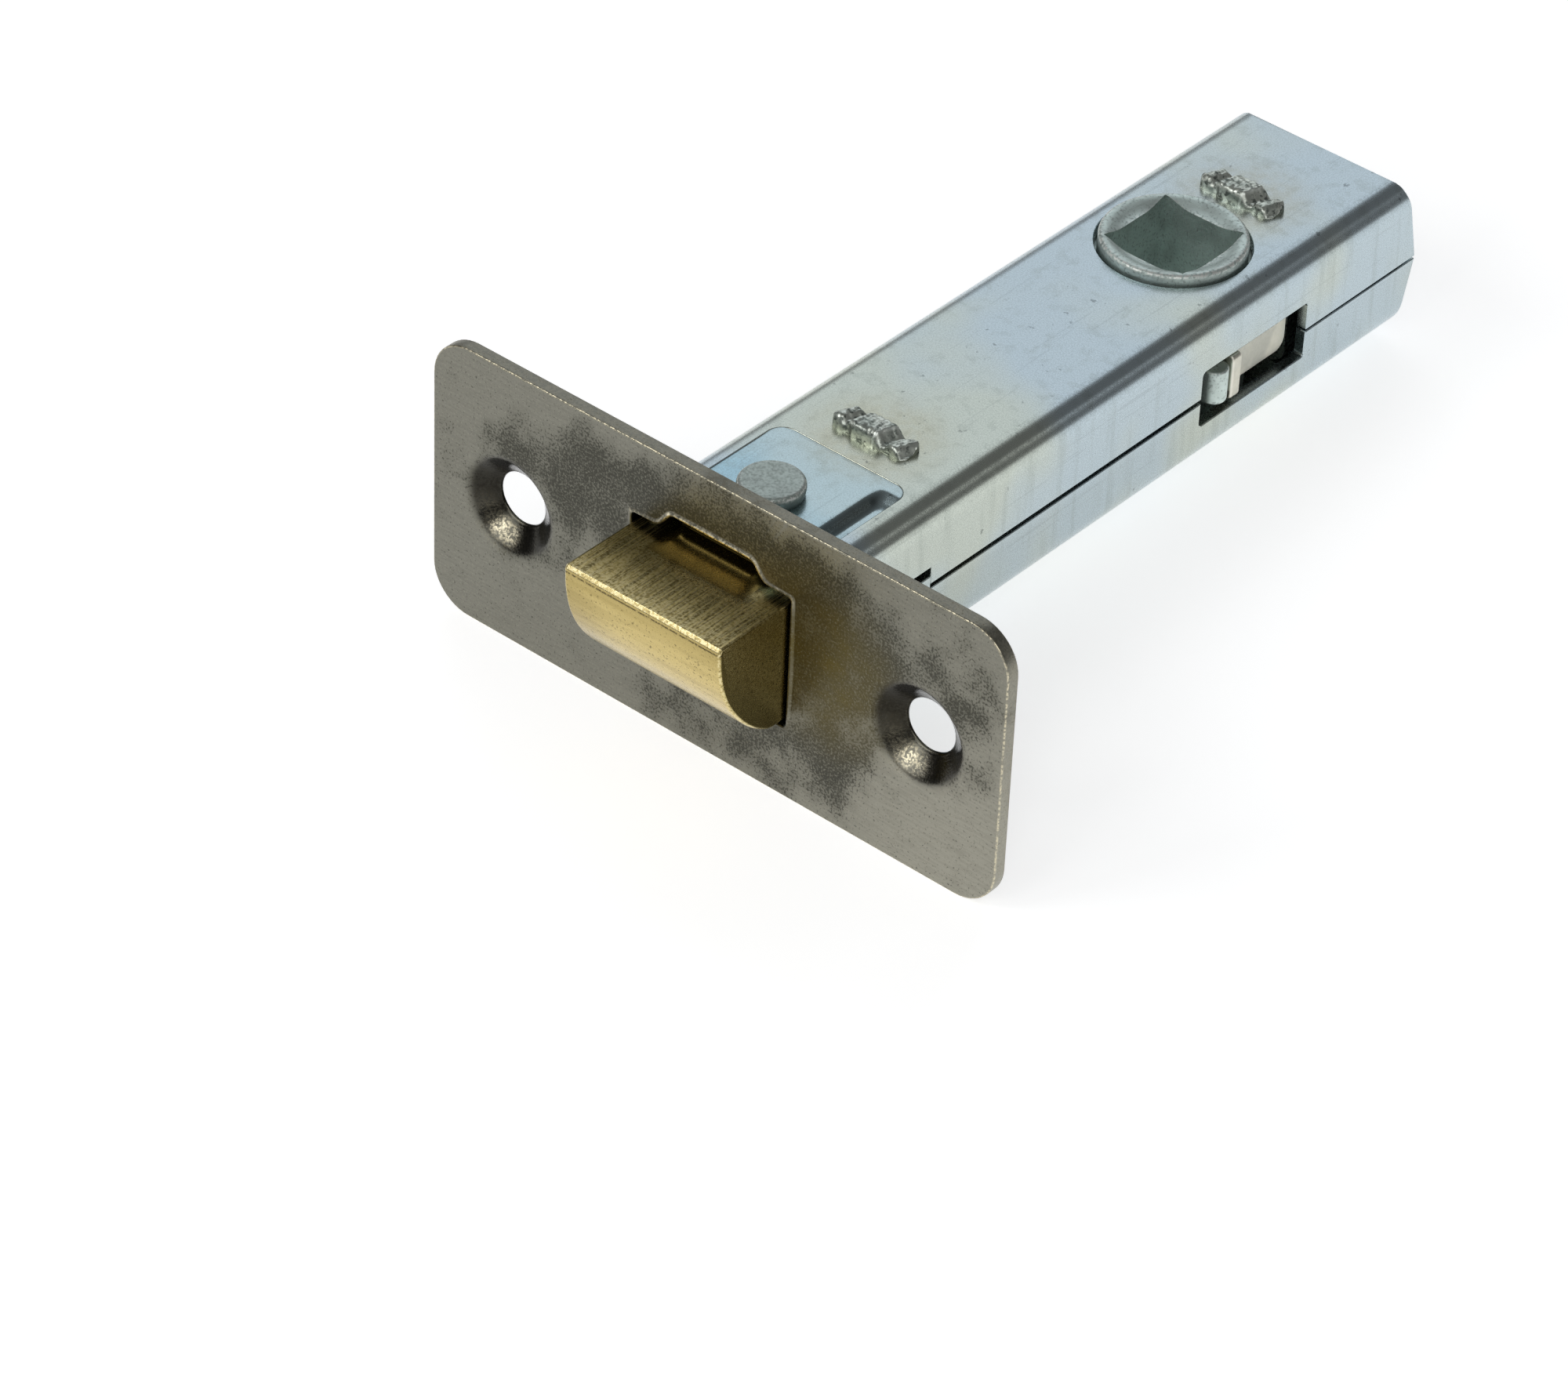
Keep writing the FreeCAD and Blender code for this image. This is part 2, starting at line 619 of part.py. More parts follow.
def yoke():
    """Fork of folded sheet: a cross web, two arms, and an ear and a claw on each arm."""
    web = box(-ARM_OUTSIDE, ARM_OUTSIDE, WEB_FRONT, WEB_REAR, YOKE_BOTTOM, YOKE_TOP)
    web = web.cut(tenon_bar(WEB_FRONT, WEB_REAR))
    arm_side = [
        (WEB_FRONT, YOKE_BOTTOM),
        (ARM_STEP_Y, YOKE_BOTTOM, ARM_CORNER_RADIUS),
        (ARM_STEP_Y, ARM_UNDERSIDE, ARM_CORNER_RADIUS),
        (EAR_FRONT, ARM_UNDERSIDE),
        (EAR_FRONT, CLAW_BOTTOM),
        (ARM_REAR, CLAW_BOTTOM, CLAW_RADIUS),
        (ARM_REAR, YOKE_TOP, ARM_CORNER_RADIUS),
        (WEB_FRONT, YOKE_TOP),
    ]
    arm = prism("yz", arm_side, ARM_INSIDE, ARM_OUTSIDE)
    ear = [
        (ARM_INSIDE, EAR_BOTTOM),
        (EAR_REACH, EAR_BOTTOM, EAR_RADIUS),
        (EAR_REACH, EAR_TOP, EAR_RADIUS),
        (ARM_INSIDE, EAR_TOP),
    ]
    arm = arm.fuse(prism("xz", ear, EAR_FRONT, EAR_FRONT + EAR_THICKNESS))
    return web.fuse(both_sides(arm)).removeSplitter()


def follower():
    """Hub with a square socket, a dished boss at each end and two lobes."""
    hub = post(HUB_DIAMETER, 0, FOLLOWER_Y, -HUB_TOP, HUB_TOP)
    boss = post(BOSS_DIAMETER, 0, FOLLOWER_Y, 0, BOSS_TOP)
    rim = [edge for edge in boss.Edges if is_circle_at(edge, BOSS_TOP)]
    boss = boss.makeFillet(min(BOSS_EDGE_RADIUS, BOSS_STAND / 2), rim)
    floor = SOCKET_SIZE / 2
    base = Vector(0, FOLLOWER_Y, BOSS_TOP - DISH_DEPTH)
    dish = Part.makeCone(floor, DISH_DIAMETER / 2, DISH_DEPTH, base, Vector(0, 0, 1))
    boss = boss.cut(dish)
    body = hub.fuse([boss, mirrored(boss, Vector(0, 0, 1))] + both_sides(lobe()))
    half = SOCKET_SIZE / 2
    socket = box(-half, half, FOLLOWER_Y - half, FOLLOWER_Y + half, -BOSS_TOP - 1, BOSS_TOP + 1)
    return body.cut(socket).removeSplitter()


def lobe():
    """One lobe: a flat rear flank, a round tip and a front flank tangent to the hub."""
    hub = HUB_DIAMETER / 2
    across, along = LOBE_TIP_X, LOBE_TIP_Y - FOLLOWER_Y
    lean = math.acos((hub - LOBE_TIP_RADIUS) / LOBE_RADIUS)
    heading = math.atan2(along, across) - lean
    normal = (math.cos(heading), math.sin(heading))
    at_hub = (hub * normal[0], FOLLOWER_Y + hub * normal[1])
    at_tip = (LOBE_TIP_X + LOBE_TIP_RADIUS * normal[0], LOBE_TIP_Y + LOBE_TIP_RADIUS * normal[1])
    halfway = (heading + math.pi / 2) / 2
    outermost = (
        LOBE_TIP_X + LOBE_TIP_RADIUS * math.cos(halfway),
        LOBE_TIP_Y + LOBE_TIP_RADIUS * math.sin(halfway),
    )
    shoulder = (LOBE_TIP_X, LOBE_FLANK_Y)
    root = (0, LOBE_FLANK_Y)
    level = LOBE_BOTTOM
    edges = [
        Part.makeLine(Vector(*root, level), Vector(*at_hub, level)),
        Part.makeLine(Vector(*at_hub, level), Vector(*at_tip, level)),
        Part.Arc(Vector(*at_tip, level), Vector(*outermost, level), Vector(*shoulder, level)).toShape(),
        Part.makeLine(Vector(*shoulder, level), Vector(*root, level)),
    ]
    return solid_of(edges, Vector(0, 0, LOBE_TOP - LOBE_BOTTOM))


def spring_cage():
    """Strip along the case's floor with a wall at its rear that stops the spring."""
    floor_low = CAGE_FLOOR_TOP - CAGE_SHEET
    wall_rear = CAGE_WALL_FRONT + CAGE_SHEET
    half = CAGE_WIDTH / 2
    floor = box(-half, half, CAGE_FRONT, wall_rear, floor_low, CAGE_FLOOR_TOP)
    wall = [
        (-half, floor_low),
        (half, floor_low),
        (half, CAGE_WALL_TOP, CAGE_CORNER_RADIUS),
        (-half, CAGE_WALL_TOP, CAGE_CORNER_RADIUS),
    ]
    cage = floor.fuse(prism("xz", wall, CAGE_WALL_FRONT, wall_rear)).removeSplitter()
    cage = cage.cut(tab(FRONT_BRIDGE_Y, -HALF_HEIGHT, 0))
    return cage.cut(pin(GUIDE_SHANK_DIAMETER, CAGE_WALL_FRONT, wall_rear))


def spring_guide():
    """Flanged stud riveted to the cage's wall, inside the spring's rear coils."""
    wall_rear = CAGE_WALL_FRONT + CAGE_SHEET
    flange = pin(GUIDE_FLANGE_DIAMETER, GUIDE_FRONT, CAGE_WALL_FRONT)
    stud = pin(GUIDE_STUD_DIAMETER, GUIDE_FRONT - GUIDE_STUD_LENGTH, GUIDE_FRONT)
    shank = pin(GUIDE_SHANK_DIAMETER, CAGE_WALL_FRONT, wall_rear)
    button = pin(GUIDE_STUD_DIAMETER, wall_rear, wall_rear + GUIDE_TAIL_LENGTH)
    return flange.fuse([stud, shank, button]).removeSplitter()


def bolt_spring():
    """Compression spring from the tail's washer to the guide's flange, its ends ground flat."""
    length = GUIDE_FRONT - WASHER_REAR
    coil = (SPRING_DIAMETER - SPRING_WIRE) / 2
    path = Part.makeHelix(length / SPRING_TURNS, length, coil)
    section = Part.Wire(Part.makeCircle(SPRING_WIRE / 2, Vector(coil, 0, 0), Vector(0, 1, 0)))
    wire = Part.Wire(path.Edges).makePipeShell([section], True, True)
    wire.rotate(Vector(0, 0, 0), Vector(1, 0, 0), -90)
    wire.translate(Vector(0, WASHER_REAR, 0))
    reach = SPRING_DIAMETER
    return wire.common(box(-reach, reach, WASHER_REAR, GUIDE_FRONT, -reach, reach))


def build():
    """Every piece of the latch by its name."""
    below = Vector(0, 0, 1)
    return {
        "face_plate": face_plate(),
        "case_cover": case_shell(1),
        "case_tray": case_shell(-1),
        "tongue_top": tongue(),
        "tongue_bottom": mirrored(tongue(), below),
        "strap_top": strap(),
        "strap_bottom": mirrored(strap(), below),
        "rivet_top": rivet(),
        "rivet_bottom": mirrored(rivet(), below),
        "front_bridge": front_bridge(),
        "rear_bridge": rear_bridge(),
        "spring_cage": spring_cage(),
        "spring_guide": spring_guide(),
        "bolt_spring": bolt_spring(),
        "latch_bolt": latch_bolt(),
        "tail_washer": tail_washer(),
        "yoke": yoke(),
        "follower": follower(),
    }


def main():
    """Write each piece to a file of its own."""
    os.makedirs("parts", exist_ok=True)
    for name, shape in build().items():
        shape.exportStep("parts/" + name + ".step")
        print(name, len(shape.Solids), shape.isValid(), round(shape.Volume, 1))


main()
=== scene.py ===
"""Tubular door latch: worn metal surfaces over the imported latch, with a stage and a camera.

Sizes are in millimetres in the latch's own frame. X runs along the face plate, Y runs into
the door and Z is the axis of the spindle.
"""

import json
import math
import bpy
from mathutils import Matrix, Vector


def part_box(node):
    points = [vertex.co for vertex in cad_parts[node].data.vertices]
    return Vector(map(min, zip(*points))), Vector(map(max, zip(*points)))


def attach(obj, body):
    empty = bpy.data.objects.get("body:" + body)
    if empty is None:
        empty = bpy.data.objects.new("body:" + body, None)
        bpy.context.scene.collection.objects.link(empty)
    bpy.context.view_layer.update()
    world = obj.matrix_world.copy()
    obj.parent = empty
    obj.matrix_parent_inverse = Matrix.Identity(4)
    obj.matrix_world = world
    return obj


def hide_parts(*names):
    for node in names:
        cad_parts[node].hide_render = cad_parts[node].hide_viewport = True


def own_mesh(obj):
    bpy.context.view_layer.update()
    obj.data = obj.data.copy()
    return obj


bl_info = {
    "name": "Tubular door latch",
    "version": (1, 0, 0),
    "blender": (4, 5, 0),
    "location": "3D View > Sidebar > Latch",
    "description": "Dresses the packed tubular latch in worn metal and sets its stage",
    "category": "Add Mesh",
}

import bmesh
import bpy
import numpy as np
from mathutils import Matrix, Vector

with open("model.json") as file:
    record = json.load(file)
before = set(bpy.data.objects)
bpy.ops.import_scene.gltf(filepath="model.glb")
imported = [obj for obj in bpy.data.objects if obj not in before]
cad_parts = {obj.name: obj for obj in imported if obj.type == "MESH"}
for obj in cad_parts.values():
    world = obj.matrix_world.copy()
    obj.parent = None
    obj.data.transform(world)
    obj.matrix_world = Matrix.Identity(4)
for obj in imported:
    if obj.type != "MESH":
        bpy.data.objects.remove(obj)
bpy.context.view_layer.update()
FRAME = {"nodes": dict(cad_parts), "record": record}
MM = 0.001


def box_mm(node):
    """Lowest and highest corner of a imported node, in millimetres."""
    low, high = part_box(node)
    return np.array(low) / MM, np.array(high) / MM


PLATE_LOW, PLATE_HIGH = box_mm("face_plate")
COVER_LOW = box_mm("case_cover")[0]
BOLT_LOW, BOLT_HIGH = box_mm("latch_bolt")
HUB_LOW, HUB_HIGH = box_mm("follower")
TONGUE_LOW, TONGUE_HIGH = box_mm("tongue_top")
RIVET_LOW, RIVET_HIGH = box_mm("rivet_top")
YOKE_LOW, YOKE_HIGH = box_mm("yoke")
WASHER_HIGH = box_mm("tail_washer")[1]
SPRING_LOW, SPRING_HIGH = box_mm("bolt_spring")
FRONT_STAKE_Y = sum(box_mm("front_bridge"))[1] / 2
REAR_STAKE_Y = sum(box_mm("rear_bridge"))[1] / 2

JOINTS = {joint["name"]: joint for joint in FRAME["record"]["behaviour"]["joints"]}
BOLT_TRAVEL = JOINTS["bolt_slide"]["range_m"][1] / MM
# Outer faces of the shells, and half of the cross plates' thickness.
CASE_TOP = 7.0
BRIDGE_HALF = 1.0
# Flat sides of the bolt's head.
HEAD_TOP, HEAD_UNDER = 5.4, -5.5
# Screw holes and corners of the face plate.
SCREW_X, SCREW_RADIUS = 20.5, 2.3
PLATE_CORNER = 3.7


def linear(value):
    """Linear colour of an sRGB hex value: each channel goes through the sRGB curve."""
    channels = [int(value[i : i + 2], 16) / 255 for i in (1, 3, 5)]
    curve = [c / 12.92 if c <= 0.04045 else ((c + 0.055) / 1.055) ** 2.4 for c in channels]
    return (*curve, 1.0)


SPAN = {"precision": 5, "subtype": "DISTANCE", "unit": "LENGTH"}
TINT = {"size": 4, "min": 0.0, "max": 1.0, "subtype": "COLOR"}


class LatchSizes(bpy.types.PropertyGroup):
    """Sizes of the surface detail"""

    plate_edge: bpy.props.FloatProperty(
        name="Plate edge", description="Rounding of the face plate's outer edge",
        default=0.16 * MM, min=0.02 * MM, max=0.5 * MM, **SPAN
    )
    lip_round: bpy.props.FloatProperty(
        name="Opening lip", description="Rounding of the lip round the bolt",
        default=0.26 * MM, min=0.05 * MM, max=0.5 * MM, **SPAN
    )
    bolt_edge: bpy.props.FloatProperty(
        name="Bolt edge", description="Rounding of the bolt's side edges",
        default=0.27 * MM, min=0.05 * MM, max=0.28 * MM, **SPAN
    )
    sheet_edge: bpy.props.FloatProperty(
        name="Sheet edge", description="Rounding of the case's cut edges",
        default=0.09 * MM, min=0.01 * MM, max=0.3 * MM, **SPAN
    )
    stake_height: bpy.props.FloatProperty(
        name="Staked head", description="Height of the staked heads over the case",
        default=1.38 * MM, min=0.5 * MM, max=1.4 * MM, **SPAN
    )


class LatchColours(bpy.types.PropertyGroup):
    """Colours of the metals"""

    nickel: bpy.props.FloatVectorProperty(
        name="Nickel", description="Face plate, aged nickel plate on steel",
        default=linear("#9A988C"), **TINT
    )
    zinc: bpy.props.FloatVectorProperty(
        name="Zinc", description="Case, bright zinc plate on steel",
        default=linear("#C8D2D2"), **TINT
    )
    brass: bpy.props.FloatVectorProperty(
        name="Brass", description="Bolt, cast and brushed brass",
        default=linear("#CFBB7C"), **TINT
    )
    casting: bpy.props.FloatVectorProperty(
        name="Zinc casting", description="Hub, die-cast zinc",
        default=linear("#D8E6E1"), **TINT
    )
    floor: bpy.props.FloatVectorProperty(
        name="Floor", description="Pale matt floor of the stage",
        default=linear("#F2F2F2"), **TINT
    )


def add(tree, kind, sockets=(), out=0, **settings):
    """A shader node with its settings. Its sockets, in order or by name, get a value or a link
    from another node's output, and one of its own outputs is given back where it has any."""
    node = tree.nodes.new("ShaderNode" + kind)
    for key, value in settings.items():
        setattr(node, key, value)
    pairs = sockets.items() if isinstance(sockets, dict) else enumerate(sockets)
    for socket, source in pairs:
        if isinstance(source, bpy.types.NodeSocket):
            tree.links.new(source, node.inputs[socket])
        else:
            node.inputs[socket].default_value = source
    return node.outputs[out] if node.outputs else None


SOFT = {"interpolation_type": "SMOOTHSTEP"}
COLOUR = {"data_type": "RGBA", "out": 2}
DISTANCE = {"operation": "DISTANCE", "out": "Value"}
SUM = {"operation": "ADD"}
PRODUCT = {"operation": "MULTIPLY"}
PRODUCT_AND_SUM = {"operation": "MULTIPLY_ADD"}


def empty_tree(owner):
    """Shader tree of a material or a world, emptied."""
    owner.use_nodes = True
    owner.node_tree.nodes.clear()
    return owner.node_tree


def make_metal(name, recipe, *tones):
    """Metal surface. The recipe gets the point in millimetres and the marks there: wear with
    painted highlight, and soiling with painted shade. It gives a base colour, the layers over
    it, a roughness, a height and the relief's depth. A layer is a share and its tone, or a
    field, the map range that turns it into a share, and its tone."""
    material = bpy.data.materials.new(name)
    tree = empty_tree(material)
    at = add(tree, "TexCoord", out="Object")
    point = add(tree, "VectorMath", {0: at, "Scale": 1 / MM}, operation="SCALE")
    wear_and_highlight = add(tree, "Attribute", out="Fac", attribute_name="wear_and_highlight")
    grime_and_shade = add(tree, "Attribute", out="Fac", attribute_name="grime_and_shade")
    shade, layers, roughness, height, depth = recipe(tree, point, wear_and_highlight, grime_and_shade, *tones)
    for share, *span, tone in layers:
        if span:
            share = add(tree, "MapRange", (share, *span), **SOFT)
        shade = add(tree, "Mix", {0: share, 6: shade, 7: linear(tone)}, **COLOUR)
    relief = {"Height": height, "Distance": depth * MM, "Strength": 1.0}
    bump = add(tree, "Bump", relief)
    surface = {"Base Color": shade, "Metallic": 1.0, "Roughness": roughness, "Normal": bump}
    shader = add(tree, "BsdfPrincipled", surface)
    add(tree, "OutputMaterial", {0: shader})


def aged_nickel_plate(tree, point, wear_and_highlight, grime_and_shade, colour):
    """Nickel-plated steel, rolled, tumbled and long in use: olive grey with a fine grain, soft
    speckled smudges round the holes and the bolt, those round the bolt partly painted shade,
    painted shade away from the lower right corner, gold-brown tarnish beside the bolt, pale
    edges with wear and painted highlights, and dark burnished funnels, darkened by soiling and
    painted shade, with a painted highlight low on each wall."""
    # Grain 0.18 mm across, and polishing lines 0.2 mm apart that lean over the plate.
    grain = add(tree, "TexNoise", {"Vector": point, "Scale": 5.5, "Detail": 3.0})
    lean = {0: point, "Rotation": (0.0, 0.62, 0.0), "Scale": (0.1, 1.0, 1.0)}
    leaning = add(tree, "Mapping", lean)
    line = add(tree, "TexNoise", {"Vector": leaning, "Scale": 4.5, "Detail": 2.0})
    smudge = add(tree, "TexNoise", {"Vector": point, "Scale": 0.27, "Detail": 4.0})
    # Handling and oil darken the plate round both holes, and round the bolt painted shade
    # darkens
    # it as well: each spot has a centre, a weight on each axis, where it ends and is full, and
    # its share.
    handling_and_shade = add(tree, "MapRange", (smudge, 0.36, 0.64, -0.22, 0.30))
    spots = (
        ((-19.5, 0.0, 1.5), (1.0, 1.0, 1.0), 9.5, 3.5, 0.50),
        ((-9.0, 0.0, 6.5), (0.55, 1.0, 0.9), 7.0, 1.5, 0.85),
        ((3.0, 0.0, 9.5), (0.5, 1.0, 1.0), 6.5, 1.5, 0.60),
        ((12.0, 0.0, 2.0), (0.8, 1.0, 0.6), 8.0, 2.0, 0.75),
        ((23.0, 0.0, 4.0), (0.8, 1.0, 0.8), 8.0, 2.0, 0.60),
        ((4.0, 0.0, -8.5), (0.32, 1.0, 0.9), 6.0, 1.5, 0.62),
    )
    for centre, weight, end, full, share in spots:
        off = add(tree, "VectorMath", (point, centre), operation="SUBTRACT")
        weighed = add(tree, "VectorMath", (off, weight), **PRODUCT)
        away = add(tree, "VectorMath", (weighed,), "Value", operation="LENGTH")
        part = add(tree, "MapRange", (away, end, full, 0.0, share), **SOFT)
        handling_and_shade = add(tree, "Math", (handling_and_shade, part), **SUM)
    dirt_and_shade = add(tree, "MapRange", (handling_and_shade, 0.12, 0.95, 0.0, 1.0), **SOFT)
    dirt_and_shade_share = add(tree, "Math", (dirt_and_shade, 0.66), **PRODUCT)
    # Specks of 0.2 mm stand closer where the plate is darkened more.
    speck = add(tree, "TexNoise", {"Vector": point, "Scale": 4.6, "Detail": 5.0})
    close = add(tree, "Math", (dirt_and_shade, 0.20, speck), **PRODUCT_AND_SUM)
    # Painted shade: the plate darkens away from its lower right corner.
    corner = add(tree, "VectorMath", (point, (27.0, 0.0, -11.0)), **DISTANCE)
    beside = add(tree, "VectorMath", (point, (11.0, 0.0, 1.5)), **DISTANCE)
    tarnish = add(tree, "MapRange", (beside, 10.0, 3.0, 0.0, 1.4), **SOFT)
    tarnish = add(tree, "Math", (tarnish, smudge), **PRODUCT)
    # Soiling and painted shade blacken the funnels; painted shade darkens the opening's wall.
    black = add(tree, "Math", (grime_and_shade, 0.9), **PRODUCT)
    broken = add(tree, "MapRange", (speck, 0.40, 0.60, 0.1, 1.0), **SOFT)
    wear_and_highlight = add(tree, "Math", (wear_and_highlight, broken), **PRODUCT)
    layers = (
        (corner, 3.0, 26.0, 0.0, 0.50, "#5E5E55"),
        (dirt_and_shade_share, "#4F4F45"),
        (close, 0.57, 0.71, 0.0, 0.66, "#2B2A24"),
        (tarnish, "#5F5530"),
        (line, 0.42, 0.62, 0.0, 0.10, "#2E2B27"),
        (grain, 0.54, 0.66, 0.0, 0.20, "#B5B3A4"),
        (black, "#24221E"),
        (wear_and_highlight, "#D9D0B4"),
    )
    matt = add(tree, "MapRange", (grain, 0.3, 0.7, 0.34, 0.46), **SOFT)
    matt = add(tree, "Math", (grime_and_shade, -0.20, matt), **PRODUCT_AND_SUM)
    matt = add(tree, "Math", (wear_and_highlight, -0.12, matt), **PRODUCT_AND_SUM)
    height = add(tree, "Math", (line, 0.5, grain), **PRODUCT_AND_SUM)
    return colour, layers, matt, height, 0.012


def bright_zinc(tree, point, wear_and_highlight, grime_and_shade, colour, blue, straw, roughness):
    """Electroplated zinc, clear passivated: pale metal with broad faint blue and straw clouds,
    fine grain, thin scratches along the sheet, runs down its sides, a straw tint round the
    staked heads, painted shade over the lower shell, the most near the face plate, and painted
    shade on the tongues' roll, border and key."""
    # Clouds of about 18 mm, grain of 0.12 mm, and runs 1 mm wide down the sides.
    cloud = add(tree, "TexNoise", {"Vector": point, "Scale": 0.055, "Detail": 2.0})
    grain = add(tree, "TexNoise", {"Vector": point, "Scale": 8.0, "Detail": 2.0})
    tall = add(tree, "Mapping", {0: point, "Scale": (1.0, 1.0, 0.1)})
    run = add(tree, "TexNoise", {"Vector": tall, "Scale": 0.9, "Detail": 3.0})
    # Scratches some 10 mm long, a little askew, and nicks of 1 mm.
    drawn = {0: point, "Rotation": (0.0, 0.0, 0.12), "Scale": (1.0, 0.025, 1.0)}
    long = add(tree, "Mapping", drawn)
    scratch = add(tree, "TexNoise", {"Vector": long, "Scale": 3.0, "Detail": 2.0})
    nick = add(tree, "TexNoise", {"Vector": point, "Scale": 1.1, "Detail": 3.0})
    share = add(tree, "MapRange", (cloud, 0.42, 0.60, 0.0, 1.0), **SOFT)
    tint = add(tree, "Mix", {0: share, 6: linear(blue), 7: linear(straw)}, **COLOUR)
    shade = add(tree, "Mix", {0: 0.5, 6: tint, 7: colour}, **COLOUR)
    layers = []
    for y in (FRONT_STAKE_Y, REAR_STAKE_Y):
        away = add(tree, "VectorMath", (point, (0.0, y, CASE_TOP)), **DISTANCE)
        straw_halo = add(tree, "MapRange", (away, 7.5, 3.0, 0.0, 0.55), **SOFT)
        layers.append((add(tree, "Math", (straw_halo, run), **PRODUCT), "#B3A476"))
    # Painted shade: the lower shell is darker than the upper one, the most so near the face
    # plate.
    level = add(tree, "SeparateXYZ", {0: point}, "Z")
    depth = add(tree, "SeparateXYZ", {0: point}, "Y")
    front = add(tree, "MapRange", (depth, 8.0, 60.0, 0.22, 0.05), **SOFT)
    under = add(tree, "MapRange", (level, -0.5, -1.8, 0.0, 1.0), **SOFT)
    lower_shell_shade = add(tree, "Math", (under, front), **PRODUCT)
    layers += [
        (run, 0.50, 0.70, 0.0, 0.20, "#8D968E"),
        (grain, 0.35, 0.68, 0.0, 0.20, "#79827F"),
        (scratch, 0.64, 0.70, 0.0, 0.14, "#6E7678"),
        (nick, 0.69, 0.75, 0.0, 0.50, "#4F5557"),
        (lower_shell_shade, "#858C83"),
        (grime_and_shade, "#2B2D26"),
    ]
    matt = add(tree, "MapRange", (grain, 0.3, 0.7, roughness, roughness + 0.1), **SOFT)
    height = add(tree, "Math", (scratch, 0.5, grain), **PRODUCT_AND_SUM)
    return shade, layers, matt, height, 0.0016


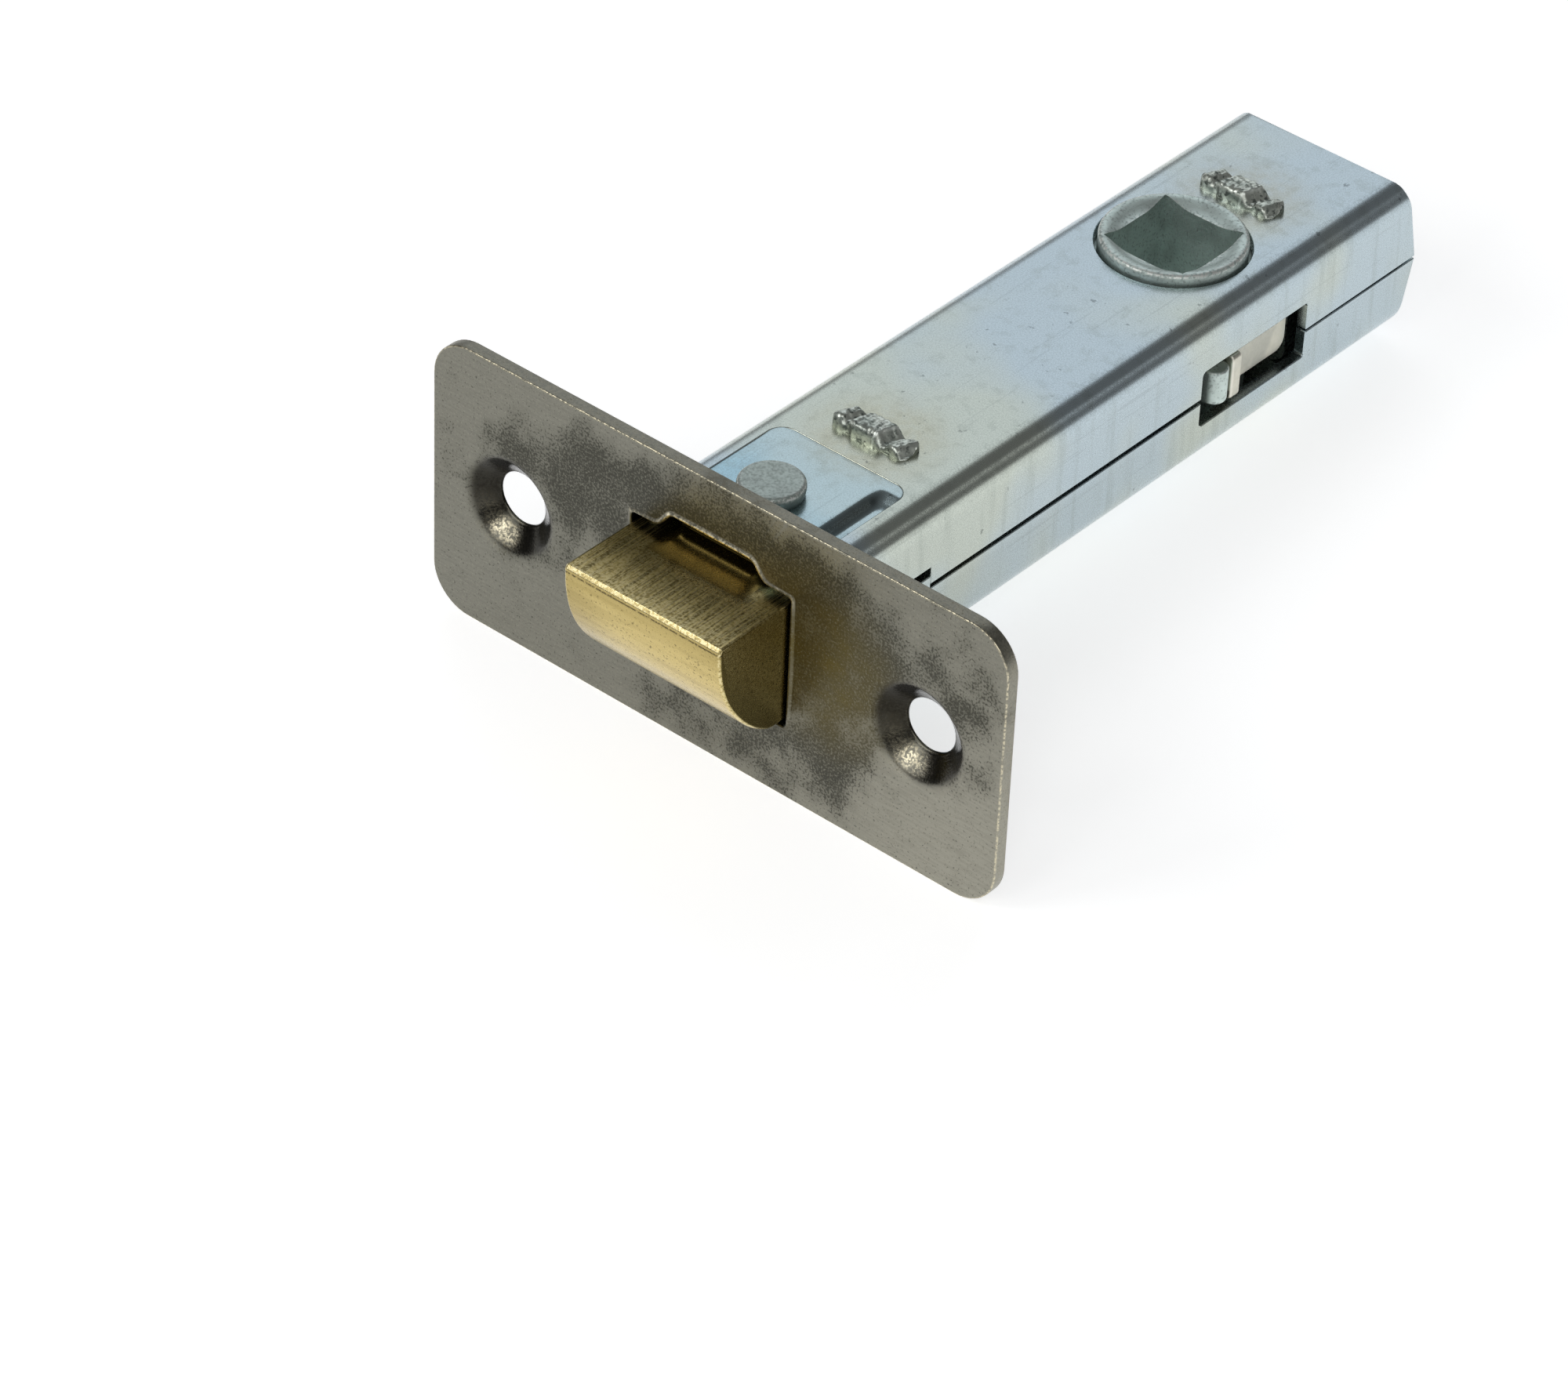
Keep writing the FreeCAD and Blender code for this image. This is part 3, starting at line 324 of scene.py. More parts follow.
def brushed_brass(tree, point, wear_and_highlight, grime_and_shade, colour):
    """Cast brass, linished: warm yellow with short brush lines along the flat side, soft bands
    over the bevel, small specks and bright corners where the brass wears. Painted light: olive
    shade on the right side, shade near the plate, at the foot of the rib and over the bevel
    towards its ends, a dotted shade line under the nose, a golden highlight up the rib's rise,
    and a highlight on the nose's facet."""
    facing = add(tree, "TexCoord", out="Normal")
    up = add(tree, "SeparateXYZ", {0: facing}, "Z")
    aside = add(tree, "SeparateXYZ", {0: facing}, "X")
    right, depth, level = (add(tree, "SeparateXYZ", {0: point}, axis) for axis in "XYZ")
    width = add(tree, "Math", {0: right}, operation="ABSOLUTE")
    # Brush lines 0.15 mm apart and some 10 mm long, and bands of 0.6 mm across the bevel.
    along = add(tree, "Mapping", {0: point, "Scale": (1.0, 0.014, 1.0)})
    brush = add(tree, "TexNoise", {"Vector": along, "Scale": 7.0, "Detail": 2.0})
    across = add(tree, "Mapping", {0: point, "Scale": (0.07, 1.0, 1.0)})
    band = add(tree, "TexNoise", {"Vector": across, "Scale": 1.7, "Detail": 3.0})
    grain = add(tree, "TexNoise", {"Vector": point, "Scale": 4.5, "Detail": 3.0})
    # The brush doesn't reach the hollow where the rib rises; painted shade darkens its foot
    # instead.
    hollow = add(tree, "MapRange", (depth, -3.2, -1.9, 0.0, 1.0), **SOFT)
    middle = add(tree, "MapRange", (width, 5.6, 4.7, 0.0, 1.0), **SOFT)
    hollow = add(tree, "Math", (hollow, middle), **PRODUCT)
    brushed = add(tree, "Math", (1.0, hollow), operation="SUBTRACT")
    top = add(tree, "MapRange", (up, 0.6, 0.95, 0.0, 1.0), **SOFT)
    brushed = add(tree, "Math", (brushed, top), **PRODUCT)
    olive = add(tree, "Math", (brushed, 0.16), **PRODUCT)
    stroke = add(tree, "MapRange", (brush, 0.54, 0.42, 0.0, 0.72), **SOFT)
    stroke = add(tree, "Math", (stroke, brushed), **PRODUCT)
    foot = add(tree, "Math", (hollow, 0.60), **PRODUCT)
    # Painted highlight: a golden band up the rib's rise.
    climb = add(tree, "MapRange", (depth, -2.3, -0.9, 0.0, 0.85), **SOFT)
    inner = add(tree, "MapRange", (width, 5.0, 3.8, 0.0, 1.0), **SOFT)
    rib = add(tree, "Math", (climb, inner), **PRODUCT)
    # Painted shade: the bevel darkens towards the nose, towards the foot and towards the left.
    upper = add(tree, "MapRange", (level, 2.2, 5.0, 0.0, 0.42), **SOFT)
    lower = add(tree, "MapRange", (level, -2.0, -5.0, 0.0, 0.35), **SOFT)
    left = add(tree, "MapRange", (right, -2.0, -7.5, 0.0, 0.45), **SOFT)
    bevel = add(tree, "Math", (upper, lower), **SUM)
    bevel = add(tree, "Math", (bevel, left), operation="MAXIMUM")
    ahead = add(tree, "MapRange", (up, 0.75, 0.45, 0.0, 1.0), **SOFT)
    bevel = add(tree, "Math", (bevel, ahead), **PRODUCT)
    # Painted shade: the line under the nose, broken into dots by the grain.
    nose_shade_dots = add(tree, "MapRange", (grain, 0.36, 0.50, 0.0, 1.0), **SOFT)
    nose_shade_dots = add(tree, "Math", (nose_shade_dots, grime_and_shade), **PRODUCT)
    broken = add(tree, "MapRange", (grain, 0.58, 0.42, 0.15, 1.0), **SOFT)
    wear_and_highlight = add(tree, "Math", (wear_and_highlight, broken), **PRODUCT)
    # Painted light among the layers: shade near the plate, olive shade on the right side, shade
    # at the rib's foot, the golden highlight on the rib, the shade over the bevel and under the
    # nose, and the highlight on the nose's facet.
    layers = (
        (depth, -6.0, -0.5, 0.0, 0.30, "#9A8850"),
        (aside, 0.6, 0.95, 0.0, 0.45, "#7E7645"),
        (olive, "#7C6C38"),
        (stroke, "#54481F"),
        (band, 0.45, 0.62, 0.0, 0.22, "#8C7A44"),
        (grain, 0.60, 0.68, 0.0, 0.6, "#433718"),
        (foot, "#5A4A1E"),
        (rib, "#C4A455"),
        (bevel, "#8A7844"),
        (nose_shade_dots, "#2B2412"),
        (wear_and_highlight, "#F2E4B2"),
    )
    relief = add(tree, "Math", (brush, brushed), **PRODUCT)
    rough = add(tree, "MapRange", (grain, 0.35, 0.65, 0.24, 0.29), **SOFT)
    scored = add(tree, "MapRange", (relief, 0.38, 0.62, 0.0, 0.12), **SOFT)
    matt = add(tree, "Math", (rough, scored), **SUM)
    share = add(tree, "MapRange", (hollow, 0.0, 1.0, 0.25, 0.03))
    height = add(tree, "Math", (grain, share, relief), **PRODUCT_AND_SUM)
    return colour, layers, matt, height, 0.012


def chiselled_steel(tree, point, wear_and_highlight, grime_and_shade, light, dark):
    """Zinc-plated steel, sheared and struck with a chisel: torn, high-contrast grey with bright
    burrs, which double as painted highlights on the crests of the staked heads."""
    # Tear marks of 0.4 mm and burnished patches of 1.4 mm.
    torn = add(tree, "TexNoise", {"Vector": point, "Scale": 2.6, "Detail": 4.0})
    patch = add(tree, "TexNoise", {"Vector": point, "Scale": 0.7, "Detail": 3.0})
    layers = (
        (torn, 0.48, 0.66, 0.0, 1.0, dark),
        (patch, 0.45, 0.65, 0.0, 0.4, "#9AA59D"),
        (wear_and_highlight, "#F0F6EE"),
    )
    matt = add(tree, "MapRange", (torn, 0.35, 0.65, 0.28, 0.50), **SOFT)
    return linear(light), layers, matt, torn, 0.03


def die_cast_zinc(tree, point, wear_and_highlight, grime_and_shade, colour, pitted, depth):
    """Die-cast zinc alloy, tumbled: matt mid grey with a fine pitted skin, broken bright rims,
    and painted shade in the hub's socket and at the foot of each rivet."""
    # Pits of 0.25 mm and wear of 2.4 mm.
    pit = add(tree, "TexNoise", {"Vector": point, "Scale": 4.2, "Detail": 3.0})
    wear = add(tree, "TexNoise", {"Vector": point, "Scale": 0.42, "Detail": 4.0})
    dirt_and_shade_share = add(tree, "Math", (grime_and_shade, 0.75), **PRODUCT)
    broken = add(tree, "MapRange", (pit, 0.58, 0.42, 0.0, 1.0), **SOFT)
    wear_and_highlight = add(tree, "Math", (broken, wear_and_highlight), **PRODUCT)
    layers = (
        (wear, 0.40, 0.62, 0.0, 0.30, "#959B97"),
        (pit, 0.54, 0.68, 0.0, pitted, "#50575A"),
        (dirt_and_shade_share, "#3F4C49"),
        (wear_and_highlight, "#EDEFEA"),
    )
    matt = add(tree, "MapRange", (pit, 0.35, 0.65, 0.46, 0.60), **SOFT)
    return colour, layers, matt, pit, depth


def plated_strip(tree, point, wear_and_highlight, grime_and_shade, light, dark):
    """Zinc-plated steel strip: pale grey with a faint straw cast and a soft sheen."""
    # Clouds of 3 mm and grain of 0.3 mm.
    cloud = add(tree, "TexNoise", {"Vector": point, "Scale": 0.35, "Detail": 2.0})
    grain = add(tree, "TexNoise", {"Vector": point, "Scale": 3.6, "Detail": 2.0})
    layers = ((cloud, 0.40, 0.62, 0.0, 1.0, dark), (wear_and_highlight, "#EFECE0"))
    matt = add(tree, "MapRange", (grain, 0.35, 0.65, 0.34, 0.46), **SOFT)
    return linear(light), layers, matt, grain, 0.008


def oiled_spring_steel(tree, point, wear_and_highlight, grime_and_shade, light, dark):
    """Hard-drawn spring steel, oiled: dark blue-grey with drawing marks 0.4 mm across."""
    mark = add(tree, "TexNoise", {"Vector": point, "Scale": 2.5, "Detail": 3.0})
    layers = ((mark, 0.40, 0.60, 0.0, 1.0, dark),)
    matt = add(tree, "MapRange", (mark, 0.35, 0.65, 0.24, 0.36), **SOFT)
    return linear(light), layers, matt, mark, 0.006


def rectangle(u0, u1, v0, v1, radius=0.0):
    """Corners of a rectangle, all rounded alike."""
    return [(u0, v0, radius), (u1, v0, radius), (u1, v1, radius), (u0, v1, radius)]


def rounded(corners, steps=6):
    """Closed outline in which each corner (u, v, radius) is an arc tangent to both its sides:
    the arc's centre lies on the corner's bisector, radius over the sine of half the angle in."""
    outline = []
    for i, corner in enumerate(corners):
        at = np.array(corner[:2], float)
        radius = corner[2] if len(corner) > 2 else 0.0
        a = np.array(corners[i - 1][:2], float) - at
        b = np.array(corners[(i + 1) % len(corners)][:2], float) - at
        a, b = a / np.linalg.norm(a), b / np.linalg.norm(b)
        half = math.acos(np.clip(a @ b, -1, 1)) / 2
        if radius < 1e-6 or half > math.pi / 2 - 1e-4:
            outline.append(at[None])
            continue
        middle = (a + b) / np.linalg.norm(a + b)
        centre = at + middle * radius / math.sin(half)
        first = at + a * radius / math.tan(half) - centre
        last = at + b * radius / math.tan(half) - centre
        start = math.atan2(first[1], first[0])
        sweep = (math.atan2(last[1], last[0]) - start + math.pi) % (2 * math.pi) - math.pi
        angle = start + sweep * np.linspace(0, 1, steps + 1)
        outline.append(centre + radius * np.stack([np.cos(angle), np.sin(angle)], -1))
    return np.concatenate(outline)


def inset(outline, distance):
    """Outline moved inward: each point goes along the mean of its two sides' normals, by the
    distance over one plus the cosine of the turn."""
    following = np.roll(outline, -1, axis=0) - outline
    following /= np.linalg.norm(following, axis=1)[:, None]
    previous = np.roll(following, 1, axis=0)
    u, v = outline.T
    area = np.sum(u * np.roll(v, -1) - v * np.roll(u, -1))
    side = 1.0 if area > 0 else -1.0
    both = previous + following
    normal = np.stack([-both[:, 1], both[:, 0]], -1) * side
    cosine = 1 + np.sum(previous * following, axis=1)
    return outline + normal * (distance / np.maximum(cosine, 0.35))[:, None]


def smooth_through(columns, steps=6):
    """Open curve through points given by columns: between two points it is the cubic whose
    slope at each end is half the step from the point before to the point after."""
    p = np.column_stack(columns)
    padded = np.concatenate([[2 * p[0] - p[1]], p, [2 * p[-1] - p[-2]]])
    before, start, end, after = padded[:-3], padded[1:-2], padded[2:-1], padded[3:]
    t = np.linspace(0, 1, steps, endpoint=False)[:, None, None]
    slope, final = (end - before) / 2, (after - start) / 2
    curve = (2 * t**3 - 3 * t**2 + 1) * start + (t**3 - 2 * t**2 + t) * slope
    curve = curve + (3 * t**2 - 2 * t**3) * end + (t**3 - t**2) * final
    return np.concatenate([curve.transpose(1, 0, 2).reshape(-1, p.shape[1]), p[-1:]])


def rise(value, low, high):
    """Smooth step: 0 below low, 1 above high, and three t squared less two t cubed between."""
    t = np.clip((value - low) / (high - low), 0, 1)
    return t * t * (3 - 2 * t)


def ray_hits(outline, angles):
    """Where rays from the origin meet a closed outline, one hit for each angle."""
    side = np.roll(outline, -1, axis=0) - outline
    ray = np.stack([np.cos(angles), np.sin(angles)], -1)
    cross = ray[:, None, 0] * side[None, :, 1] - ray[:, None, 1] * side[None, :, 0]
    cross = np.where(np.abs(cross) < 1e-12, 1e-12, cross)
    reach = outline[None, :, 0] * side[None, :, 1] - outline[None, :, 1] * side[None, :, 0]
    share = outline[None, :, 0] * ray[:, None, 1] - outline[None, :, 1] * ray[:, None, 0]
    reach, share = reach / cross, share / cross
    valid = (share >= -1e-7) & (share <= 1 + 1e-7) & (reach > 0)
    return ray * np.where(valid, reach, np.inf).min(axis=1)[:, None]


# Where a flat outline's two columns and its level go among X, Y and Z.
ORDERS = {"xy": (0, 1, 2), "xz": (0, 2, 1), "yz": (2, 0, 1)}


class Skin:
    """Closed surfaces of one piece: points in millimetres, each one's marks of wear with painted
    highlight and of soiling with painted shade, and the faces between them."""

    def __init__(self):
        self.points = []
        self.marks = []
        self.faces = []
        self.total = 0

    def rows(self, rows, marks=(0.0, 0.0), joined=False, capped=True):
        """Skin over rows of points, each a closed ring: every face joins two neighbours of a
        ring to the same two on the next ring. The marks are pairs: wear with painted highlight,
        and soiling with painted shade."""
        rows = np.asarray(rows, float)
        count, around = rows.shape[:2]
        index = np.arange(count * around).reshape(count, around) + self.total
        last = count if joined else count - 1
        beyond = np.roll(index, -1, axis=0)
        corners = [index, np.roll(index, -1, axis=1), np.roll(beyond, -1, axis=1), beyond]
        self.faces += np.stack(corners, -1)[:last].reshape(-1, 4).tolist()
        if capped and not joined:
            self.faces += [index[0].tolist(), index[-1].tolist()]
        self.points.append(rows.reshape(-1, 3))
        self.marks.append(np.broadcast_to(marks, (count, around, 2)).reshape(-1, 2))
        self.total += count * around

    def sheet(self, upper, lower, marks=0.0):
        """Skin over a grid of points and back under it over a second grid. The marks are the
        upper grid's pairs of wear with painted highlight and soiling with painted shade."""
        marks = np.broadcast_to(marks, (*upper.shape[:2], 2))
        marks = np.concatenate([marks, marks[:, ::-1]], axis=1)
        self.rows(np.concatenate([upper, lower[:, ::-1]], axis=1), marks)

    def slab(self, plane, outline, low, high, edge=0.1, steps=3, wear_and_highlight=0.0, marks=(0.0, 0.0)):
        """Flat slab with rounded edges: the outline is carried from low to high, drawn in by the
        edge times one less the sine of a quarter turn at each end. The edges carry marks of
        wear."""
        turn = np.linspace(0, math.pi / 2, steps + 1)
        drawn = edge * (1 - np.sin(turn))
        level = edge * (1 - np.cos(turn))
        insets = np.concatenate([drawn, drawn[::-1]])
        levels = np.concatenate([low + level, high - level[::-1]])
        flat = np.stack([inset(outline, amount) for amount in insets])
        heights = np.broadcast_to(levels[:, None, None], (*flat.shape[:2], 1))
        rubbing_and_highlight = wear_and_highlight * np.sin(2 * turn) ** 2
        rubbing_and_highlight = np.concatenate([rubbing_and_highlight, rubbing_and_highlight[::-1]])[:, None]
        ring = np.broadcast_to(marks, (len(outline), 2))
        both = np.stack([np.maximum(rubbing_and_highlight, ring[:, 0]), rubbing_and_highlight * 0 + ring[:, 1]], -1)
        self.rows(np.concatenate([flat, heights], -1)[:, :, ORDERS[plane]], both)

    def block(self, plane, corners, low, high, edge=0.1):
        """Slab over a rectangle given by its sides and the rounding of its corners."""
        self.slab(plane, rounded(rectangle(*corners)), low, high, edge)

    def turned(self, profile, centre):
        """Round solid: a profile of (radius, level, wear with painted highlight, soiling with
        painted shade) points is turned about an upright axis."""
        angle = np.linspace(0, 2 * math.pi, 96, endpoint=False)
        radius, level, wear_and_highlight, grime_and_shade = np.array(profile, float).T[:, :, None]
        x = centre[0] + radius * np.cos(angle)
        y = centre[1] + radius * np.sin(angle)
        marks = np.concatenate([wear_and_highlight, grime_and_shade], -1)[:, None]
        self.rows(np.stack([x, y, np.broadcast_to(level, x.shape)], -1), marks)

    def merge(self, other):
        """Everything of another skin is added."""
        self.faces += [[i + self.total for i in face] for face in other.faces]
        self.points += other.points
        self.marks += other.marks
        self.total += other.total

    def image(self, axis):
        """The mirror image across one axis, as a skin of its own."""
        other = Skin()
        turn = np.ones(3)
        turn[axis] = -1
        other.points = [block * turn for block in self.points]
        other.marks, other.faces, other.total = list(self.marks), list(self.faces), self.total
        return other


def make_piece(name, skin, body, material, replaced):
    """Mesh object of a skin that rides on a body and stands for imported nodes."""
    mesh = bpy.data.meshes.new(name)
    mesh.from_pydata((np.concatenate(skin.points) * MM).tolist(), [], skin.faces)
    marks = np.concatenate(skin.marks)
    for column, label in enumerate(("wear_and_highlight", "grime_and_shade")):
        layer = mesh.attributes.new(label, "FLOAT", "POINT")
        layer.data.foreach_set("value", np.ascontiguousarray(marks[:, column]))
    bm = bmesh.new()
    bm.from_mesh(mesh)
    bmesh.ops.remove_doubles(bm, verts=bm.verts, dist=2e-7)
    bmesh.ops.dissolve_degenerate(bm, dist=1e-7, edges=bm.edges)
    bmesh.ops.recalc_face_normals(bm, faces=bm.faces)
    bm.to_mesh(mesh)
    bm.free()
    return finish_piece(name, mesh, body, material, replaced)


def finish_piece(name, mesh, body, material, replaced):
    """Smooth shading, a material, a body and the nodes that the piece stands for."""
    mesh.shade_smooth()
    mesh.set_sharp_from_angle(angle=math.radians(40))
    mesh.materials.clear()
    mesh.materials.append(bpy.data.materials[material])
    piece = bpy.data.objects.new(name, mesh)
    bpy.context.scene.collection.objects.link(piece)
    weighted = piece.modifiers.new("flat faces stay flat", "WEIGHTED_NORMAL")
    weighted.keep_sharp = True
    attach(piece, body)
    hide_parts(*replaced)
    return piece


def broken_edges(name, node, width, body, material):
    """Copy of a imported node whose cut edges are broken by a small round, as tumbling does."""
    mesh = FRAME["nodes"][node].data.copy()
    mesh.name = name
    bm = bmesh.new()
    bm.from_mesh(mesh)
    bmesh.ops.remove_doubles(bm, verts=bm.verts, dist=2e-6)
    flat = {"angle_limit": math.radians(0.5), "verts": bm.verts, "edges": bm.edges}
    bmesh.ops.dissolve_limit(bm, **flat)
    bm.to_mesh(mesh)
    bm.free()
    piece = finish_piece(name, mesh, body, material, [node])
    edge = piece.modifiers.new("broken edge", "BEVEL")
    edge.width = width
    edge.segments = 2
    edge.limit_method = "ANGLE"
    edge.angle_limit = math.radians(50)
    edge.harden_normals = False
    piece.modifiers.move(1, 0)


def opening_outline():
    """Outline of the bolt's opening: a rectangle with a round-shouldered bump in each long
    side, wide enough for the end of a tongue."""
    side, edge, crest = BOLT_HIGH[0] + 0.17, 6.1, 7.6
    upper = [(side, edge, 0.4), (5.15, edge, 0.95), (4.0, crest, 0.95)]
    upper += [(-x, z, radius) for x, z, radius in upper[::-1]]
    lower = [(-x, -z, radius) for x, z, radius in upper]
    return rounded(upper + lower, 7)


def plate_block(skin, outer, inner, toward, profile, rubbing_and_highlight, dirt_and_shade_share=1.0):
    """Part of the plate round one hole. Each profile point is a distance out from the hole's
    edge, or None for the block's own border, a depth, its wear with painted highlight and its
    soiling with painted shade; each becomes a ring. The last two shares weigh the wear with
    highlight and the soiling with shade round the ring."""
    rings, marks = [], []
    whole = np.ones(len(inner))
    for distance, depth, wear_and_highlight, grime_and_shade in profile:
        ring = outer if distance is None else inner + toward * distance
        rings.append(np.column_stack([ring[:, 0], depth * whole, ring[:, 1]]))
        marks.append(np.column_stack([wear_and_highlight * rubbing_and_highlight * whole, grime_and_shade * dirt_and_shade_share * whole]))
    skin.rows(rings, np.array(marks), capped=False)


def face_plate_skin(sizes):
    """Face plate as three blocks of rings, one round each hole, joined along two lines, with a
    rounded rim carried round the whole border."""
    skin = Skin()
    edge, thick = sizes.plate_edge / MM, COVER_LOW[1]
    half_x, half_z = PLATE_HIGH[0] - edge, PLATE_HIGH[2] - edge
    border = rounded(rectangle(-half_x, half_x, -half_z, half_z, PLATE_CORNER - edge), 12)
    split = 11.5
    turn = np.linspace(0, math.pi / 2, 5)

    opening = opening_outline()
    own = np.arctan2(opening[:, 1], opening[:, 0])
    corner = math.atan2(half_z, split)
    extra = [corner, math.pi - corner, corner - math.pi, -corner]
    even = np.linspace(-math.pi, math.pi, 97)[:-1]
    angles = np.unique(np.round(np.concatenate([own, extra, even]), 6))
    inner = ray_hits(opening, angles)
    outer = ray_hits(rounded(rectangle(-split, split, -half_z, half_z)), angles)
    toward = (outer - inner) / np.linalg.norm(outer - inner, axis=1)[:, None]
    # The punched edge stands up round the opening as a low bead. Painted shade darkens its inner
    # edge and the opening's wall behind it.
    bead = smooth_through(
        (
            np.array([2.3, 1.9, 1.4, 0.9, 0.4, 0.05, 0.0]) * sizes.lip_round / MM,
            [0.0, -0.01, -0.07, -0.12, -0.09, 0.02, 0.25],
            [0.0, 0.2, 0.7, 0.8, 0.6, 0.0, 0.0],
            [0.0, 0.0, 0.0, 0.0, 0.0, 0.3, 0.8],
        ),
        3,
    )
    profile = [(None, 0.0, 0.0, 0.0), (1.2, 0.0, 0.0, 0.0)] + bead.tolist()
    back = 0.12
    for a in turn[::-1]:
        profile.append((back * (1 - math.sin(a)), thick - back * (1 - math.cos(a)), 0.0, 0.8))
    profile += [(0.6, thick, 0.0, 0.0), (None, thick, 0.0, 0.0)]
    # Painted reflection of the brass: the lip is marked bright, faintly all round and the most
    # along its upper side.
    rubbing_and_highlight = 0.08 + 0.42 * rise(inner[:, 1], 4.5, 6.0) + 0.75 * rise(inner[:, 1], 6.0, 7.4)
    plate_block(skin, outer, inner, toward, profile, rubbing_and_highlight)

    # The funnel's wall bends in from the face, runs down steeply and ends in a short land.
    # Soiling and painted shade darken the wall, the land and the hole.
    wall = smooth_through(
        (
            [2.75, 2.30, 1.95, 1.65, 1.20, 0.65, 0.20],
            [0.0, 0.025, 0.13, 0.33, 0.70, 1.15, 1.50],
            [0.0, 0.10, 0.15, 0.5, 1.0, 0.7, 0.0],
            [0.0, 0.1, 0.5, 0.95, 1.0, 1.0, 1.0],
        )
    )
    funnel = [(4.0, 0.0, 0.0, 0.0), (3.2, 0.0, 0.0, 0.0)] + wall.tolist()
    funnel += [(0.06, 1.58, 0.2, 0.9), (0.0, 1.66, 0.2, 0.9), (0.0, 1.80, 0.0, 0.9)]
    behind = [(0.05, 1.85), (0.65, 1.85), (0.85, 1.76), (1.4, 1.32), (1.6, 1.25)]
    behind += [(4.0, 1.25), (None, 1.25)]
    funnel += [(out, depth, 0.0, 0.0) for out, depth in behind]
    shared = outer[np.abs(outer[:, 0] - split) < 1e-4]
    shared = shared[np.argsort(-shared[:, 1])]
    across = np.linspace(split, half_x - PLATE_CORNER + 0.1, 9)[1:]
    lower = np.stack([across, np.full(8, -half_z)], -1)
    arcs = border[border[:, 0] > half_x - PLATE_CORNER]
    upright = arcs[np.argsort(arcs[:, 1])]
    gap = np.stack([np.full(9, half_x), np.linspace(-6, 6, 9)], -1)
    below, above = upright[upright[:, 1] < 0], upright[upright[:, 1] > 0]
    edge_side = np.concatenate([lower[:-1], below, gap, above, lower[:-1][::-1] * [1, -1]])
    loop = np.concatenate([edge_side, shared])
    for sign in (1, -1):
        ring = loop * [sign, 1]
        hole = np.array([SCREW_X * sign, 0.0])
        toward = (ring - hole) / np.linalg.norm(ring - hole, axis=1)[:, None]
        # Painted highlight: low on the wall, a little to the left, it is marked bright and kept
        # clean.
        below = np.exp(-(((toward[:, 0] + 0.38) / 0.30) ** 2)) * (toward[:, 1] < 0)
        profile = [(None, 0.0, 0.0, 0.0)] + funnel
        inner = hole + SCREW_RADIUS * toward
        plate_block(skin, ring, inner, toward, profile, 1.3 * below, 1 - below)

    top = outer[np.abs(outer[:, 1] - half_z) < 1e-4]
    top = top[np.argsort(-top[:, 0])]
    right = np.concatenate([edge_side, top])
    whole = np.concatenate([right, -right])
    out = edge * np.sin(turn)
    depth = edge * (1 - np.cos(turn))
    drawn = np.concatenate([out, out[::-1]])
    depths = np.concatenate([depth, thick - depth[::-1]])
    # The front edge's rounding is marked bright, partly wear and partly a painted highlight; the
    # plate's sides are faintly marked.
    rubbing_and_highlight = np.concatenate([0.95 * np.sin(2 * turn), np.zeros(5)])
    rubbing_and_highlight[4:8] = 0.12
    rings = np.stack([inset(whole, -amount) for amount in drawn])
    levels = np.broadcast_to(depths[:, None], rings.shape[:2])
    marks = np.stack([rubbing_and_highlight, rubbing_and_highlight * 0], -1)[:, None]
    skin.rows(np.stack([rings[:, :, 0], levels, rings[:, :, 1]], -1), marks, capped=False)
    return skin


def bolt_side():
    """Side view of the bolt's head, as (Y, Z, wear with painted highlight, soiling with painted
    shade): flat top, a facet at the nose bright with wear and a painted highlight, a painted
    shade line under it, and a bevel that bows from there to the underside."""
    reach, root, top = BOLT_LOW[1], 3.0, HEAD_TOP
    facet = [(reach + 0.27, top, 0.16), (reach, top - 0.34, 0.2)]
    nose = rounded([(root, top), *facet, (reach + 0.02, 4.3)], 5)
    nose = nose[(nose[:, 0] < 0) & (nose[:, 1] > 4.5)]
    under = np.stack([np.full(4, reach + 0.01), [4.90, 4.82, 4.74, 4.64]], -1)
    bow = smooth_through(
        (
            reach + np.array([0.02, 0.07, 0.33, 0.75, 1.39, 2.26, 3.35, 4.50, 5.65, 6.35]),
            [4.40, 3.46, 1.91, 0.54, -0.84, -2.17, -3.46, -4.49, -5.22, -5.47],
        ),
        5,
    )
    back = [(reach + 6.7, HEAD_UNDER), (root, HEAD_UNDER), (root, top)]
    side = np.concatenate([nose, under, bow, back])
    y, z = side.T
    # Painted highlight on the nose's facet, and a painted shade line under it.
    wear_and_highlight = rise(z, top - 0.38, top - 0.26) * (1 - rise(y, reach + 0.3, reach + 0.4))
    grime_and_shade = np.exp(-(((z - 4.82) / 0.07) ** 2)) * (y < reach + 1)
    return np.column_stack([side, wear_and_highlight, grime_and_shade])


